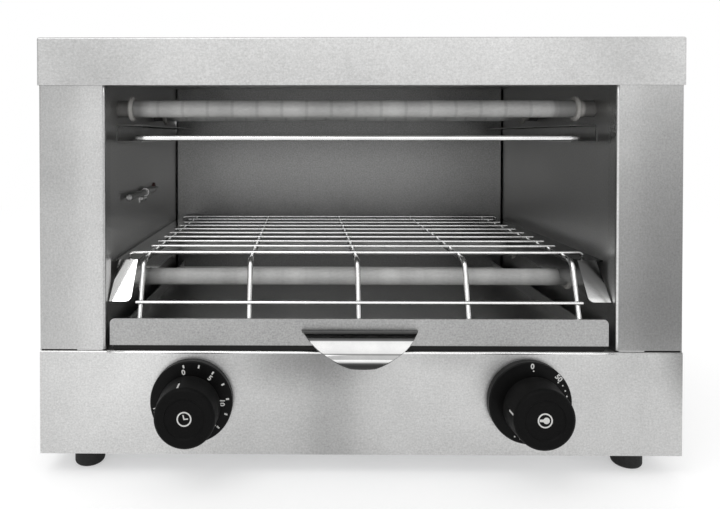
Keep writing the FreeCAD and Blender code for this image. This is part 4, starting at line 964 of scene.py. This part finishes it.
def printedPiece(name, parts, body):
    return newPiece(name, parts, body, "white_print", smooth=False)


def boxOutline(width, low, high, aside=0.0):
    left, right = aside - width / 2, aside + width / 2
    return [(left, low), (right, low), (right, high), (left, high)]


def discOutline(radius, sides=14):
    angle = fullTurn(sides)
    return np.stack([radius * np.cos(angle), radius * np.sin(angle)], -1)


# Numerals from the built-in font, made a mesh, then stood up on the dial's plane
def numeralSurface(text, look, centre, angle, radius):
    curve = bpy.data.curves.new("numeral" + text, "FONT")
    curve.body = text
    curve.size = look["fontSize"]
    curve.align_x = "CENTER"
    curve.align_y = "CENTER"
    curve.extrude = look["thickness"] / 2
    curve.offset = look["numeralBold"]
    curve.resolution_u = look["fontSteps"]
    holder = addObject("numeral" + text, curve)
    made = bpy.data.meshes.new_from_object(holder.evaluated_get(bpy.context.evaluated_depsgraph_get()))
    points = np.zeros(len(made.vertices) * 3)
    made.vertices.foreach_get("co", points)
    points = points.reshape(-1, 3)
    faces = [list(p.vertices) for p in made.polygons]
    bpy.data.objects.remove(holder)
    bpy.data.meshes.remove(made)
    bpy.data.curves.remove(curve)
    flat = turnedOut(points[:, :2], angle, radius)
    depth = look["face"] - look["thickness"] / 2 + look["numeralSunk"] - points[:, 2]
    return np.stack([centre[0] + flat[:, 0], depth, centre[1] + flat[:, 1]], -1), faces


def timerPrint(look, marks):
    centre, parts = marks["centre"], []
    tick = boxOutline(look["tickWidth"], look["tickInner"], look["tickOuter"])
    for number in range(marks["tickCount"]):
        parts.append(markSurface(look, centre, tick, marks["zeroAngle"] + number * marks["stepAngle"]))
    for text, angle in marks["numerals"].items():
        parts.append(numeralSurface(text, look, centre, angle, look["numeralRadius"]))
    # Two short bars and a dot for the hold position
    holds = [boxOutline(*marks["holdBar"], aside) for aside in (-marks["holdShift"], marks["holdShift"])]
    for outline in [*holds, discOutline(marks["holdDot"])]:
        parts.append(markSurface(look, centre, outline, marks["holdAngle"], marks["holdRadius"]))
    return printedPiece("timerPrint", parts, "casing")


def thermostatPrint(look, marks):
    centre = marks["centre"]
    parts = [numeralSurface(text, look, centre, *place) for text, place in marks["numerals"].items()]
    ring = [(marks["dotStart"] + n * marks["dotStep"], marks["dotRing"]) for n in range(marks["dotCount"])]
    for place in marks["firstDots"] + ring:
        parts.append(markSurface(look, centre, discOutline(look["dotRadius"]), *place))
    return printedPiece("thermostatPrint", parts, "casing")


knobMarks = {
    "face": -31.85,
    "ringOuter": 4.85,
    "ringInner": 3.95,
    "ringSides": 48,
    "thickness": 0.06,
    "lineWidth": 0.8,
    "hands": [(-0.3, 2.9, -14.0, 0.0), (-0.4, 2.6, 84.0, 0.01)],  # from, to, angle, raised
    "bulbCentre": 0.8,
    "bulbRadius": 2.1,
    "bulbOpening": 155,
    "bulbSteps": 22,
    "stemEnd": -3.6,
    "stemHalf": 0.75,
}


# A flat ring between two circles, as a closed profile turned about the dial's axis
def ringSurface(look, centre):
    inner, outer, thickness = look["ringInner"], look["ringOuter"], look["thickness"]
    profile = [(-printSunk, inner), (-printSunk, outer), (thickness, outer), (thickness, inner), (-printSunk, inner)]
    return turnedSurface(profile, (centre[0], look["face"], centre[1]), -depthAxis, upAxis, look["ringSides"])


def timerIcon(look, centre):
    parts = [ringSurface(look, centre)]
    for low, high, angle, raised in look["hands"]:
        parts.append(markSurface(look, centre, boxOutline(look["lineWidth"], low, high), angle, raised=raised))
    return printedPiece("timerIcon", parts, "timer_knob_and_shaft")


def thermostatIcon(look, centre):
    opening = math.radians(look["bulbOpening"])
    angle = np.linspace(opening, -opening, look["bulbSteps"])
    radius, end, half = look["bulbRadius"], look["stemEnd"], look["stemHalf"]
    bulb = np.stack([look["bulbCentre"] + radius * np.cos(angle), radius * np.sin(angle)], -1)
    parts = [ringSurface(look, centre), markSurface(look, centre, np.vstack([[(end, -half), (end, half)], bulb]))]
    return printedPiece("thermostatIcon", parts, "thermostat_knob_and_shaft")


pointerLook = {
    "width": 1.3,
    "front": -30.9,
    "rear": -22.6,
    "frontRadius": 20.28,
    "rearRadius": 20.68,
    "below": 0.35,
    "thickness": 0.12,
}


# White paint laid in the knob's groove: a thin bar that follows the taper
def pointerPaint(name, marks, body, look):
    a = math.radians(marks["pointerAngle"])
    outward = np.array([math.sin(a), 0.0, math.cos(a)])
    sideways = np.array([math.cos(a), 0.0, -math.sin(a)])
    middle = np.array([marks["centre"][0], 0.0, marks["centre"][1]])
    points = []
    for y, radius in ((look["front"], look["frontRadius"]), (look["rear"], look["rearRadius"])):
        for height in (radius - look["below"] - look["thickness"], radius - look["below"]):
            for half in (-look["width"] / 2, look["width"] / 2):
                points.append(middle + depthAxis * y + outward * height + sideways * half)
    faces = [[0, 1, 3, 2], [4, 6, 7, 5], [0, 4, 5, 1], [2, 3, 7, 6], [0, 2, 6, 4], [1, 5, 7, 3]]
    return printedPiece(name, [(np.array(points), faces)], body)


timerPrint(dialPrint, timerMarks)
thermostatPrint(dialPrint, thermostatMarks)
timerIcon(knobMarks, timerMarks["centre"])
thermostatIcon(knobMarks, thermostatMarks["centre"])
pointerPaint("timerPointer", timerMarks, "timer_knob_and_shaft", pointerLook)
pointerPaint("thermostatPointer", thermostatMarks, "thermostat_knob_and_shaft", pointerLook)
print("dials and knobs marked")

studio = {
    "floorTone": 0.60,
    "floorLift": 0.42,
    "floorRough": 0.9,
    "floorSize": 30.0,
    "fadeFrom": (0.7, 1.8),
    "behind": 1.0,
    "above": 1.0,
    "ahead": 0.50,
    "aheadRight": 0.72,
    "aheadFrom": (-0.05, -0.6),
    "rightFrom": (0.1, 0.5),
    "bandFrom": (0.12, 0.24),
    "bandTo": (0.75, 0.35),
}
softboxes = {
    "frontSoftbox": {
        "place": (-0.12, -1.95, 1.00),
        "target": (0.0, -0.1, 0.25),
        "width": 2.4,
        "height": 0.85,
        "radiance": 1.30,
    },
    "overheadSoftbox": {
        "place": (-0.62, -1.0, 1.62),
        "target": (-0.17, -0.12, 0.13),
        "width": 1.3,
        "height": 0.85,
        "radiance": 2.1,
    },
}


def rayMask(tree):
    rays = addNode(tree, "ShaderNodeLightPath").outputs
    seen = maths(tree, "MAXIMUM", rays["Is Camera Ray"], rays["Is Glossy Ray"])
    return maths(tree, "MAXIMUM", seen, rays["Is Transmission Ray"])


# Pale floor: lifted to white where it is seen or mirrored, less its shadow, and plain white far away
def floorMaterial(look):
    values = {"Base Color": (*grey(look["floorTone"]), 1.0), "Roughness": look["floorRough"], "Specular IOR Level": 0.0}
    material, tree, shader = newMaterial("paleFloor", values)
    place = addNode(tree, "ShaderNodeTexCoord").outputs["Object"]
    far = between(tree, lengthOf(tree, place), 0.0, 1.0, *look["fadeFrom"], "SMOOTHSTEP")
    seen = rayMask(tree)
    lift = addNode(tree, "ShaderNodeEmission", {}, {"Strength": product(tree, seen, look["floorLift"])})
    near = addNode(tree, "ShaderNodeAddShader", {}, {0: shader.outputs[0], 1: lift.outputs[0]})
    white = addNode(tree, "ShaderNodeEmission", {"Strength": 1.0})
    shares = {0: product(tree, far, seen), 1: near.outputs[0], 2: white.outputs[0]}
    mix = addNode(tree, "ShaderNodeMixShader", {}, shares)
    tree.links.new(mix.outputs[0], tree.nodes["Material Output"].inputs["Surface"])
    return material


def makeFloor(look):
    half = look["floorSize"] / 2
    mesh = bpy.data.meshes.new("floor")
    mesh.from_pydata([(-half, -half, 0), (half, -half, 0), (half, half, 0), (-half, half, 0)], [], [(0, 1, 2, 3)])
    floor = addObject("floor", mesh)
    mesh.materials.append(floorMaterial(look))


# One sky for every ray: white all round the horizon, behind and above the object, softer in a band ahead of it
def makeWorld(look):
    world = bpy.data.worlds.new("studio")
    bpy.context.scene.world = world
    world.use_nodes = True
    tree = world.node_tree
    direction = addNode(tree, "ShaderNodeTexCoord").outputs["Generated"]
    parts = addNode(tree, "ShaderNodeSeparateXYZ", {}, {"Vector": direction}).outputs
    eased = lambda axis, limits, low=0.0, high=1.0: between(tree, parts[axis], low, high, *look[limits], "SMOOTHSTEP")
    share = product(tree, eased("Y", "aheadFrom"), eased("Z", "bandTo"), eased("Z", "bandFrom"))
    across = eased("X", "rightFrom", look["ahead"], look["ahead"] * look["aheadRight"])
    softer = product(tree, share, maths(tree, "SUBTRACT", across, look["above"]))
    back = tree.nodes["Background"]
    back.inputs["Color"].default_value = (1, 1, 1, 1)
    tree.links.new(maths(tree, "ADD", softer, look["behind"]), back.inputs["Strength"])


# A soft box: power is the wanted radiance times pi times its area
def addSoftbox(name, place, target, width, height, radiance):
    lamp = bpy.data.lights.new(name, "AREA")
    lamp.shape = "RECTANGLE"
    lamp.size, lamp.size_y = width, height
    lamp.energy = radiance * math.pi * width * height
    holder = addObject(name, lamp)
    holder.location = place
    holder.rotation_euler = (Vector(target) - Vector(place)).to_track_quat("-Z", "Y").to_euler()
    holder.visible_camera = False


cameraLook = {
    "place": (-0.03946, -0.5682, 0.2372),
    "downward": 0.733,
    "leftward": 0.522,
    "lens": 31.3,
    "sensor": 36.0,
    "nearest": 0.01,
    "shiftX": 0.0868,
    "shiftY": -0.1521,
}


def makeCamera(look):
    camera = bpy.data.cameras.new("camera")
    camera.lens = look["lens"]
    camera.sensor_width = look["sensor"]
    camera.shift_x, camera.shift_y = look["shiftX"], look["shiftY"]
    camera.clip_start = look["nearest"]
    holder = addObject("camera", camera)
    holder.location = look["place"]
    holder.rotation_euler = (math.radians(90 - look["downward"]), 0, math.radians(look["leftward"]))
    bpy.context.scene.camera = holder


makeFloor(studio)
makeWorld(studio)
for name, box in softboxes.items():
    addSoftbox(name, **box)
makeCamera(cameraLook)
bpy.context.scene.view_settings.view_transform = "Standard"
print("stage set")
